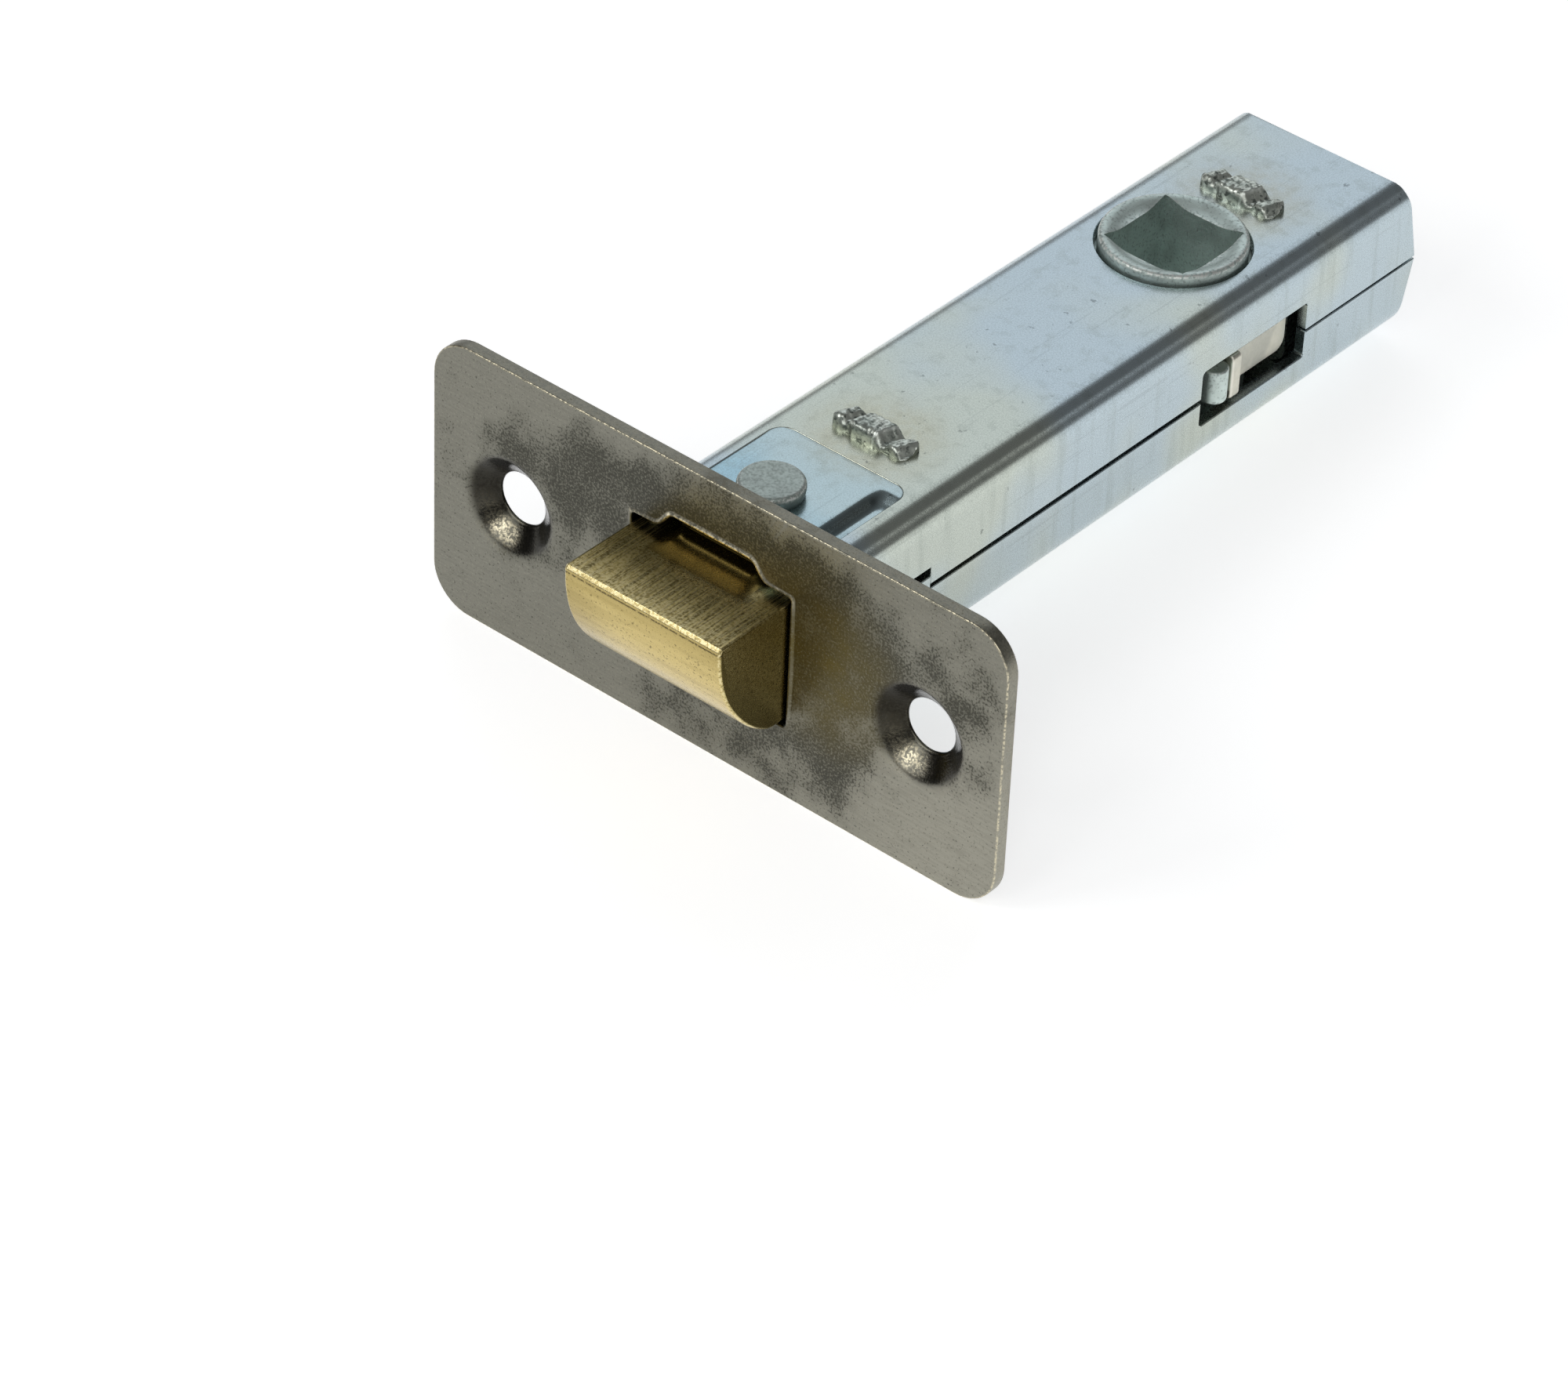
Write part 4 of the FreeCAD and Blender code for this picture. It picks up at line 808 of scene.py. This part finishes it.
def bolt_skin(sizes):
    """Whole bolt: head, shank, tail and riveted end as rounded slabs, and a low rib on each
    face, whose height is the product of a smooth rise along Y and a smooth fall across X."""
    skin = Skin()
    half = BOLT_HIGH[0]
    side = bolt_side()
    skin.slab("yz", side[:, :2], -half, half, sizes.bolt_edge / MM, 5, 0.75, side[:, 2:])
    x = np.linspace(-4.9, 4.9, 99)
    for sign, start, top, crest in ((1, -2.0, HEAD_TOP, 0.44), (-1, -1.2, -HEAD_UNDER, 0.34)):
        y = np.linspace(start - 0.1, 3.0, 96)
        height = crest * rise(y, start, start + 2.6)[:, None] * (1 - rise(np.abs(x), 3.5, 4.8))
        ends = np.meshgrid(x, y)
        foot = rise(y, start - 0.1, start)[:, None] * (1 - rise(np.abs(x), 4.75, 4.9))
        upper = np.stack([*ends, sign * (top - 0.01 + 0.016 * foot + height)], -1)
        lower = np.stack([*ends, np.full(height.shape, sign * (top - 0.3))], -1)
        skin.sheet(upper, lower)
    web_front = YOKE_LOW[1]
    shank_rear = FRONT_STAKE_Y - BRIDGE_HALF - BOLT_TRAVEL - 0.25
    half = YOKE_HIGH[0] - 1.95
    skin.block("xz", (-half, half, -4.6, 4.6, 0.4), 2.9, shank_rear, 0.2)
    skin.block("xz", (-4.0, 4.0, -3.0, 3.0, 0.3), shank_rear - 0.3, web_front)
    skin.block("xz", (-2.0, 2.0, -1.8, 1.8, 0.1), web_front - 0.2, WASHER_HIGH[1] + 0.2, 0.05)
    button = rounded(rectangle(-2.8, 2.8, -2.8, 2.8, 2.79), 12)
    skin.slab("xz", button, WASHER_HIGH[1], BOLT_HIGH[1], 0.25)
    return skin


def rivet_skin():
    """Flat rivet head with a rolled rim and a slight waist, and its shank down to the strap."""
    skin = Skin()
    top, full, foot = RIVET_HIGH[2], (RIVET_HIGH[0] - RIVET_LOW[0]) / 2, RIVET_LOW[2]
    # Painted shade darkens the rim's foot and the shank where they meet the case.
    rim = smooth_through(
        (
            full - np.array([0.50, 0.24, 0.06, 0.0, 0.04, 0.14]),
            [*(top - np.array([0.0, 0.05, 0.22, 0.50, 0.85])), CASE_TOP],
            [0.0, 0.3, 0.9, 0.2, 0.0, 0.0],
            [0.0, 0.0, 0.0, 0.0, 0.2, 1.0],
        ),
        4,
    )
    profile = [(0.0, top - 0.03, 0.0, 0.0), (1.2, top - 0.03, 0.0, 0.0)] + rim.tolist()
    profile += [(1.1, CASE_TOP, 0, 1), (1.1, 6.4, 0, 1), (1.5, foot, 0, 0), (0, foot, 0, 0)]
    skin.turned(profile, (RIVET_LOW + RIVET_HIGH) / 2)
    return skin


def tongue_skin():
    """Tongue in the cut-out: flat in the middle, its right side rolled down by a smooth rise
    that fades before its rear end, its rear corners round, and its front narrowed to a key."""
    skin = Skin()
    side, rear, radius = TONGUE_HIGH[0] + 0.11, TONGUE_HIGH[1] + 0.07, 1.35
    turn = np.sin(np.linspace(0, 1.5, 12))[1:]
    straight = np.linspace(COVER_LOW[1], rear - radius, 26)
    y = np.concatenate([straight, rear - radius + radius * turn])
    into = np.maximum(y - (rear - radius), 0.0)
    width = side - radius + np.sqrt(radius**2 - into**2)
    across = np.linspace(-1, 1, 81)
    x = width[:, None] * across
    drop = np.where(x > 0, 0.86, 0.06) * (1 - rise(y, rear - 2.6, rear - 0.9))[:, None]
    roll = rise(np.abs(x), 4.25, 5.5)
    top = CASE_TOP - drop * roll - 0.05 * rise(y, rear - 0.4, rear)[:, None]
    depth = np.broadcast_to(y[:, None], x.shape)
    border = (np.abs(across) > 0.985) | (y > rear - 0.03)[:, None]
    # Painted shade: a dark line round the border, and a dark band down the steep part of the
    # roll.
    shaded = np.maximum(border * 0.3, 0.95 * drop * 4 * roll * (1 - roll))
    marks = np.stack([shaded * 0, shaded], -1)
    skin.sheet(np.stack([x, depth, top], -1), np.stack([x, depth, top - 0.6], -1), marks)
    key = rounded(rectangle(-3.8, 3.8, TONGUE_LOW[1], COVER_LOW[1] + 0.15, 0.1))
    # The key is painted dark all over: painted shade under the plate's lip.
    skin.slab("xy", key, 6.4, 6.98, 0.06, marks=(0.0, 1.0))
    return skin


def staked_head(y, height):
    """Staked head over the case. Its height over X has three lobes with a chisel notch between
    each two, skewed along Y; it falls to the case as a blunt dome across Y, and sines of X and
    Y make it uneven."""
    x = np.linspace(-3.7, 3.7, 121)
    v = np.linspace(-1, 1, 41)[:, None]
    place = [-3.7, -3.45, -2.95, -2.45, -2.05, -1.8, -1.55, -1.4]
    place += [0.95, 1.15, 1.7, 2.05, 2.4, 3.0, 3.4, 3.7]
    crest = [0.2, 0.66, 0.9, 0.86, 0.6, 0.56, 0.84, 0.99]
    crest += [1.0, 0.93, 0.36, 0.34, 0.58, 0.66, 0.5, 0.12]
    breadth = [0.6, 0.86, 0.95, 0.93, 0.86, 0.86, 0.95, 1.0]
    breadth += [1.0, 1.0, 0.84, 0.8, 0.88, 0.94, 0.86, 0.55]
    width = 1.3 * np.interp(x, place, breadth)
    dome = (1 - np.abs(v) ** 6) ** 0.42
    lobes = np.interp(x - 0.45 * v, place, crest)
    uneven = 1 + 0.05 * np.sin(5.1 * x + 4.0 * v) * np.cos(3.3 * x - 6.0 * v)
    ridge = CASE_TOP + height / 1.04 * np.minimum(lobes * dome * uneven, 1.04)
    across = y + v * width
    # Painted highlight: the crests of the lobes on the +X side are marked bright.
    wear_and_highlight = rise(lobes, 0.80, 0.97) * (1 - rise(lobes, 0.97, 0.995)) * (x > 0)
    upper = np.stack([np.broadcast_to(x, ridge.shape), across, np.maximum(ridge, 6.98)], -1)
    lower = upper[:, ::-1] * [1, 1, 0] + [0, 0, 6.9]
    marks = np.stack([wear_and_highlight, wear_and_highlight * 0], -1)
    head = Skin()
    both = np.concatenate([marks, marks * 0], axis=1)
    head.rows(np.concatenate([upper, lower], axis=1), both)
    return head


def bridge_skin(sizes, y, half_width, window):
    """Cross plate between the shells, open for the bolt's tail where it has a window, with
    its tabs and both staked heads."""
    skin = Skin()
    low, high = y - BRIDGE_HALF, y + BRIDGE_HALF
    if window:
        side = rounded(rectangle(4.2, half_width, -4.8, 5.6, 1.2))
        skin.slab("xz", side, low, high, 0.05)
        skin.slab("xz", side * [-1, 1], low, high, 0.05)
        for z0, z1 in ((3.2, 5.6), (-4.8, -3.2)):
            skin.block("xz", (-5.6, 5.6, z0, z1, 0.05), low + 0.01, high - 0.01, 0.05)
    else:
        skin.block("xz", (-half_width, half_width, -6.0, 6.0, 1.4), low, high, 0.05)
    for z0, z1 in ((4.0, 7.3), (-7.3, -4.0)):
        skin.block("xy", (-3.2, 3.2, low, high, 0.1), z0, z1, 0.05)
    head = staked_head(y, sizes.stake_height / MM)
    skin.merge(head)
    skin.merge(head.image(2))
    return skin


def spring_skin():
    """Round wire wound on a helix: its centre goes round the Y axis and along it at an even
    rate, and each ring of the wire spans the outward direction and the one square to it and
    to the wire."""
    skin = Skin()
    wire, turns = 0.9, 9.0
    coil = (SPRING_HIGH[0] - SPRING_LOW[0] - wire) / 2
    angle = np.linspace(0, 2 * math.pi * turns, 361)[:, None]
    out = np.concatenate([np.cos(angle), angle * 0, np.sin(angle)], -1)
    low, high = SPRING_LOW[1] + wire / 2, SPRING_HIGH[1] - wire / 2
    along = low + (high - low) * angle / angle[-1]
    centre = coil * out + along * [0, 1, 0]
    pitch = (high - low) / angle[-1, 0]
    lead = np.concatenate([-coil * np.sin(angle), angle * 0 + pitch, coil * np.cos(angle)], -1)
    across = np.cross(lead / np.linalg.norm(lead, axis=1)[:, None], out)
    turn = np.linspace(0, 2 * math.pi, 12, endpoint=False)[None, :, None]
    ring = np.cos(turn) * out[:, None] + np.sin(turn) * across[:, None]
    skin.rows(centre[:, None] + wire / 2 * ring)
    return skin


def follower_skin():
    """Hub and bosses as rings from the socket's edge out over the dished face, round the rim,
    down the boss and the hub, and back by mirror image; the ring at the socket is square."""
    skin = Skin()
    angle = np.linspace(0, 2 * math.pi, 192, endpoint=False)
    square = 4.0 / np.maximum(np.abs(np.cos(angle)), np.abs(np.sin(angle)))
    top = HUB_HIGH[2]
    rings, marks = [], []
    for share in (0.0, 0.02, 0.25, 0.5, 0.75, 1.0):
        radius = square + share * (5.72 - square)
        drop = 0.55 * (1 - rise(radius, 4.2, 5.66))
        rings.append((radius, top - drop - (0.06 if share == 0.0 else 0.0)))
        marks.append((0.5 if share < 0.1 else 0.0, 0.0))
    rim = (5.82, 5.95, 6.05, 6.1, 6.1, 6.1, 6.6)
    fall = (0.015, 0.07, 0.18, 0.34, 1.0, 2.15, 2.15)
    rubbing_and_highlight = (0.7, 1.0, 0.8, 0.1, 0.0, 0.0, 0.0)
    for radius, level, wear_and_highlight in zip(rim, fall, rubbing_and_highlight):
        rings.append((np.full(192, radius), np.full(192, top - level)))
        marks.append((wear_and_highlight, 0.0))
    rings += [(radius, -level) for radius, level in rings[::-1]]
    marks += marks[::-1]
    # Painted shade: the socket's edge rings are marked dark, which darkens the socket's walls.
    marks[0] = marks[-1] = (0.0, 0.2)
    hub_y = ((HUB_LOW + HUB_HIGH) / 2)[1]
    radius, level = np.array(rings).transpose(1, 0, 2)
    rows = np.stack([radius * np.cos(angle), hub_y + radius * np.sin(angle), level], -1)
    skin.rows(rows, np.array(marks)[:, None], joined=True)
    # Each lobe reaches out to its round tip, 27.5 degrees forward of straight aside.
    tip, tip_x = 1.15, 8.054
    tip_y = hub_y - tip_x * math.tan(math.radians(27.5))
    turn = np.linspace(-0.5 * math.pi - 0.15, 0.5 * math.pi, 14)
    arc = np.stack([tip_x + tip * np.cos(turn), tip_y + tip * np.sin(turn)], -1)
    foot = [(2.0, hub_y - 6.1), (3.9, hub_y - 5.6)]
    outline = np.concatenate([foot, arc, [(3.0, tip_y + tip)]])
    lobe = Skin()
    lobe.slab("xy", outline, -2.05, 1.05, 0.22, 4, 0.6)
    skin.merge(lobe)
    skin.merge(lobe.image(0))
    return skin


def yoke_skin():
    """Fork of folded strip: a web, and on each side an arm with a claw and an ear bent out."""
    skin = Skin()
    front, rear, top = YOKE_LOW[1], YOKE_HIGH[1], YOKE_HIGH[2]
    reach, thick = YOKE_HIGH[0], 0.95
    inside, notch, ear_y = reach - 2.05, 43.5, 52.877
    corners = [(front, -4.4), (notch, -4.4, 1.0), (notch, 1.5, 1.0), (ear_y, 1.5, 0.1)]
    corners += [(ear_y, -2.1, 0.1), (rear, -2.1, 1.2), (rear, top, 1.0), (front, top)]
    skin.slab("yz", rounded(corners), inside, inside + thick, 0.14, 3, 0.5)
    ear = [(inside, -2.7, 0.2), (reach, -2.7, 0.6), (reach, 1.6, 0.5), (inside, 1.6, 0.1)]
    skin.slab("xz", rounded(ear), ear_y, ear_y + 1.2, 0.24, 4, 0.9)
    skin.merge(skin.image(0))
    half = inside + 0.9
    skin.block("xz", (-half, half, -4.4, top, 0.1), front, front + thick, 0.08)
    return skin


class LATCH_OT_finishes(bpy.types.Operator):
    """Make the metals"""

    bl_idname = "latch.finishes"
    bl_label = "Metal finishes"

    def execute(self, context):
        colours = context.scene.latch_colours
        zinc, casting = tuple(colours.zinc), tuple(colours.casting)
        blue, rivet = linear("#ABC9D0"), linear("#B8C3BD")
        make_metal("aged_nickel_plate", aged_nickel_plate, tuple(colours.nickel))
        make_metal("bright_zinc", bright_zinc, zinc, "#B2C6D4", "#C6CBB6", 0.22)
        make_metal("blue_passivated_zinc", bright_zinc, blue, "#9CC0D3", "#C5CFD0", 0.20)
        make_metal("brushed_brass", brushed_brass, tuple(colours.brass))
        make_metal("chiselled_steel", chiselled_steel, "#D2D8CE", "#6E746F")
        make_metal("die_cast_zinc", die_cast_zinc, casting, 0.35, 0.014)
        make_metal("cold_headed_zinc", die_cast_zinc, rivet, 0.12, 0.005)
        make_metal("plated_strip", plated_strip, "#D6D4C6", "#BDBDB2")
        make_metal("oiled_spring_steel", oiled_spring_steel, "#6B6F74", "#4A4D52")
        return {"FINISHED"}


class LATCH_OT_face_plate(bpy.types.Operator):
    """Press the face plate with its two funnels and the bolt's opening"""

    bl_idname = "latch.face_plate"
    bl_label = "Face plate"

    def execute(self, context):
        skin = face_plate_skin(context.scene.latch_sizes)
        make_piece("plate_skin", skin, "case", "aged_nickel_plate", ["face_plate"])
        return {"FINISHED"}


class LATCH_OT_bolt(bpy.types.Operator):
    """Cast and brush the bolt"""

    bl_idname = "latch.bolt"
    bl_label = "Bolt"

    def execute(self, context):
        skin = bolt_skin(context.scene.latch_sizes)
        make_piece("bolt_casting", skin, "bolt", "brushed_brass", ["latch_bolt"])
        return {"FINISHED"}


class LATCH_OT_shells(bpy.types.Operator):
    """Fold both shells of the case"""

    bl_idname = "latch.shells"
    bl_label = "Case shells"

    def execute(self, context):
        width = context.scene.latch_sizes.sheet_edge
        for node, name in (("case_cover", "cover_shell"), ("case_tray", "tray_shell")):
            broken_edges(name, node, width, "case", "bright_zinc")
        return {"FINISHED"}


class LATCH_OT_tongues(bpy.types.Operator):
    """Press the tongues and set their rivets"""

    bl_idname = "latch.tongues"
    bl_label = "Tongues and rivets"

    def execute(self, context):
        for place in ("top", "bottom"):
            panel, rivet = tongue_skin(), rivet_skin()
            if place == "bottom":
                panel, rivet = panel.image(2), rivet.image(2)
            node, finish = "tongue_" + place, "blue_passivated_zinc"
            make_piece("tongue_panel_" + place, panel, "case", finish, [node])
            node, name = "rivet_" + place, "rivet_head_" + place
            make_piece(name, rivet, "case", "cold_headed_zinc", [node])
        return {"FINISHED"}


class LATCH_OT_bridges(bpy.types.Operator):
    """Stake the cross plates through the shells"""

    bl_idname = "latch.bridges"
    bl_label = "Staked bridges"

    def execute(self, context):
        sizes, slot, finish = context.scene.latch_sizes, "staked_steel", "chiselled_steel"
        front = bridge_skin(sizes, FRONT_STAKE_Y, 7.8, True)
        rear = bridge_skin(sizes, REAR_STAKE_Y, 6.2, False)
        make_piece("front_stake", front, "case", finish, ["front_bridge"])
        make_piece("rear_stake", rear, "case", finish, ["rear_bridge"])
        return {"FINISHED"}


class LATCH_OT_hub(bpy.types.Operator):
    """Cast the follower with its socket, bosses and lobes"""

    bl_idname = "latch.hub"
    bl_label = "Follower"

    def execute(self, context):
        skin = follower_skin()
        make_piece("hub_casting", skin, "hub", "die_cast_zinc", ["follower"])
        return {"FINISHED"}


class LATCH_OT_yoke(bpy.types.Operator):
    """Fold the yoke round the hub"""

    bl_idname = "latch.yoke"
    bl_label = "Yoke"

    def execute(self, context):
        make_piece("yoke_strip", yoke_skin(), "bolt", "plated_strip", ["yoke"])
        return {"FINISHED"}


class LATCH_OT_spring(bpy.types.Operator):
    """Wind the bolt's spring at its length with the bolt out; it is not made to shorten as the
    bolt is drawn back
    """

    bl_idname = "latch.spring"
    bl_label = "Bolt spring"

    def execute(self, context):
        skin, slot = spring_skin(), "spring_steel"
        coil = make_piece("spring_coil", skin, "case", "oiled_spring_steel", ["bolt_spring"])
        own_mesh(coil)
        return {"FINISHED"}


class LATCH_OT_inside(bpy.types.Operator):
    """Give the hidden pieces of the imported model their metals"""

    bl_idname = "latch.inside"
    bl_label = "Inside pieces"

    def execute(self, context):
        metals = {
            "strap_top": "oiled_spring_steel",
            "strap_bottom": "oiled_spring_steel",
            "spring_cage": "bright_zinc",
            "spring_guide": "bright_zinc",
            "tail_washer": "chiselled_steel",
        }
        for node, metal_name in metals.items():
            mesh = FRAME["nodes"][node].data
            mesh.materials.clear()
            mesh.materials.append(bpy.data.materials[metal_name])
        return {"FINISHED"}


class LATCH_OT_stage(bpy.types.Operator):
    """Lay the latch on a pale floor under soft studio light, seen as it lies"""

    bl_idname = "latch.stage"
    bl_label = "Stage"

    def execute(self, context):
        scene = context.scene
        scene.view_settings.view_transform = "Standard"
        self.floor(scene)
        self.light(scene)
        self.camera(scene)
        return {"FINISHED"}

    def floor(self, scene):
        """Flat floor that touches the plate's lower edge and the rear staked head. The camera,
        mirrors and glass see it with a plain white glow added."""
        front = Vector((0, 0, PLATE_LOW[2]))
        rear = Vector((0, REAR_STAKE_Y + 1.3, -CASE_TOP - 1.4))
        reach = 1500
        slope = (rear - front).normalized() * reach
        side = Vector((reach, 0, 0))
        corners = [-side - slope, side - slope, side + slope, slope - side]
        mesh = bpy.data.meshes.new("floor")
        mesh.from_pydata([(front + corner) * MM for corner in corners], [], [(0, 1, 2, 3)])
        material = bpy.data.materials.new("matt_white_paper")
        tree = empty_tree(material)
        paper = {"Base Color": tuple(scene.latch_colours.floor), "Roughness": 0.9}
        shader = add(tree, "BsdfPrincipled", paper)
        seen = add(tree, "LightPath", out="Is Camera Ray")
        for ray in ("Is Glossy Ray", "Is Transmission Ray"):
            seen_by = add(tree, "LightPath", out=ray)
            seen = add(tree, "Math", (seen, seen_by), operation="MAXIMUM")
        share = add(tree, "Math", (seen, 0.62), **PRODUCT)
        glow = add(tree, "Emission", {"Color": (1, 1, 1, 1), "Strength": share})
        both = add(tree, "AddShader", (shader, glow))
        add(tree, "OutputMaterial", (both,))
        mesh.materials.append(material)
        floor = bpy.data.objects.new("floor", mesh)
        scene.collection.objects.link(floor)

    def light(self, scene):
        """A broad lamp over the back, a faint one at the right, three soft ones in front, all
        square and turned to the latch's middle, and a room that is grey overhead and pale near
        the floor."""
        middle, distance = Vector((0, 0.035, 0)), 0.70
        lamps = (
            ("over_back", (-0.50, 0.61, 0.66), 0.60, 0.95, "#F4F9FF"),
            ("right_strip", (0.64, 0.61, 0.48), 0.12, 0.024, "#FFFFFF"),
            ("front_edge", (-0.46, -0.61, 0.62), 0.32, 0.85, "#FFFFFF"),
            ("low_front", (-0.02, -0.86, 0.52), 0.26, 0.42, "#FFFFFF"),
            ("near_camera", (0.62, -0.60, 0.62), 0.40, 0.80, "#FFFFFF"),
        )
        for name, toward, size, power, colour in lamps:
            light = bpy.data.lights.new(name, "AREA")
            light.size = size
            light.energy = power
            light.color = linear(colour)[:3]
            lamp = bpy.data.objects.new(name, light)
            direction = Vector(toward).normalized()
            lamp.location = middle + direction * distance
            lamp.rotation_euler = direction.to_track_quat("Z", "Y").to_euler()
            scene.collection.objects.link(lamp)
        world = bpy.data.worlds.new("room")
        tree = empty_tree(world)
        direction = add(tree, "TexCoord", out="Generated")
        up = add(tree, "SeparateXYZ", (direction,), "Z")
        strength = add(tree, "MapRange", (up, -0.01, 0.05, 1.0, 0.14), **SOFT)
        shader = add(tree, "Background", {"Color": (1, 1, 1, 1), "Strength": strength})
        add(tree, "OutputWorld", (shader,))
        scene.world = world

    def camera(self, scene):
        """Long lens, turned as the latch was photographed: the axes are worked out from the
        azimuth, the elevation and the roll, and the camera backs off from a point by them."""
        azimuth, elevation, roll = np.radians([39.3867, 37.8828, 2.5161])
        target, distance, lens = np.array([-17.0196, 30.0, -32.7812]), 524.823, 145.821
        back = np.array([math.sin(azimuth), -math.cos(azimuth), 0.0]) * math.cos(elevation)
        back[2] = math.sin(elevation)
        right = np.array([math.cos(azimuth), math.sin(azimuth), 0.0])
        up = np.cross(back, right)
        across = right * math.cos(roll) + up * math.sin(roll)
        upward = -right * math.sin(roll) + up * math.cos(roll)
        place = (target + back * distance) * MM
        view = bpy.data.cameras.new("camera")
        view.sensor_width = 36.0
        view.lens = lens
        view.clip_start = 0.01
        camera = bpy.data.objects.new("camera", view)
        turn = Matrix(np.stack([across, upward, back], -1).tolist()).to_4x4()
        camera.matrix_world = Matrix.Translation(Vector(place)) @ turn
        scene.collection.objects.link(camera)
        scene.camera = camera


class LATCH_PT_panel(bpy.types.Panel):
    """Steps of dressing the latch"""

    bl_idname = "LATCH_PT_panel"
    bl_label = "Tubular latch"
    bl_space_type = "VIEW_3D"
    bl_region_type = "UI"
    bl_category = "Latch"

    def draw(self, context):
        scene = context.scene
        for group in (scene.latch_sizes, scene.latch_colours):
            for key in group.__annotations__:
                self.layout.prop(group, key)
        for step in STEPS:
            self.layout.operator(step.bl_idname)


STEPS = (
    LATCH_OT_finishes,
    LATCH_OT_face_plate,
    LATCH_OT_bolt,
    LATCH_OT_shells,
    LATCH_OT_tongues,
    LATCH_OT_bridges,
    LATCH_OT_hub,
    LATCH_OT_yoke,
    LATCH_OT_spring,
    LATCH_OT_inside,
    LATCH_OT_stage,
)
CLASSES = (LatchSizes, LatchColours, *STEPS, LATCH_PT_panel)


def register():
    """Register the classes and hang the settings on the scene."""
    for cls in CLASSES:
        bpy.utils.register_class(cls)
    bpy.types.Scene.latch_sizes = bpy.props.PointerProperty(type=LatchSizes)
    bpy.types.Scene.latch_colours = bpy.props.PointerProperty(type=LatchColours)


def unregister():
    """Take the settings and the classes away again."""
    del bpy.types.Scene.latch_colours
    del bpy.types.Scene.latch_sizes
    for cls in reversed(CLASSES):
        bpy.utils.unregister_class(cls)


def main():
    """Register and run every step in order."""
    register()
    bpy.ops.latch.finishes()
    bpy.ops.latch.face_plate()
    bpy.ops.latch.bolt()
    bpy.ops.latch.shells()
    bpy.ops.latch.tongues()
    bpy.ops.latch.bridges()
    bpy.ops.latch.hub()
    bpy.ops.latch.yoke()
    bpy.ops.latch.spring()
    bpy.ops.latch.inside()
    bpy.ops.latch.stage()


if __name__ == "__main__":
    main()
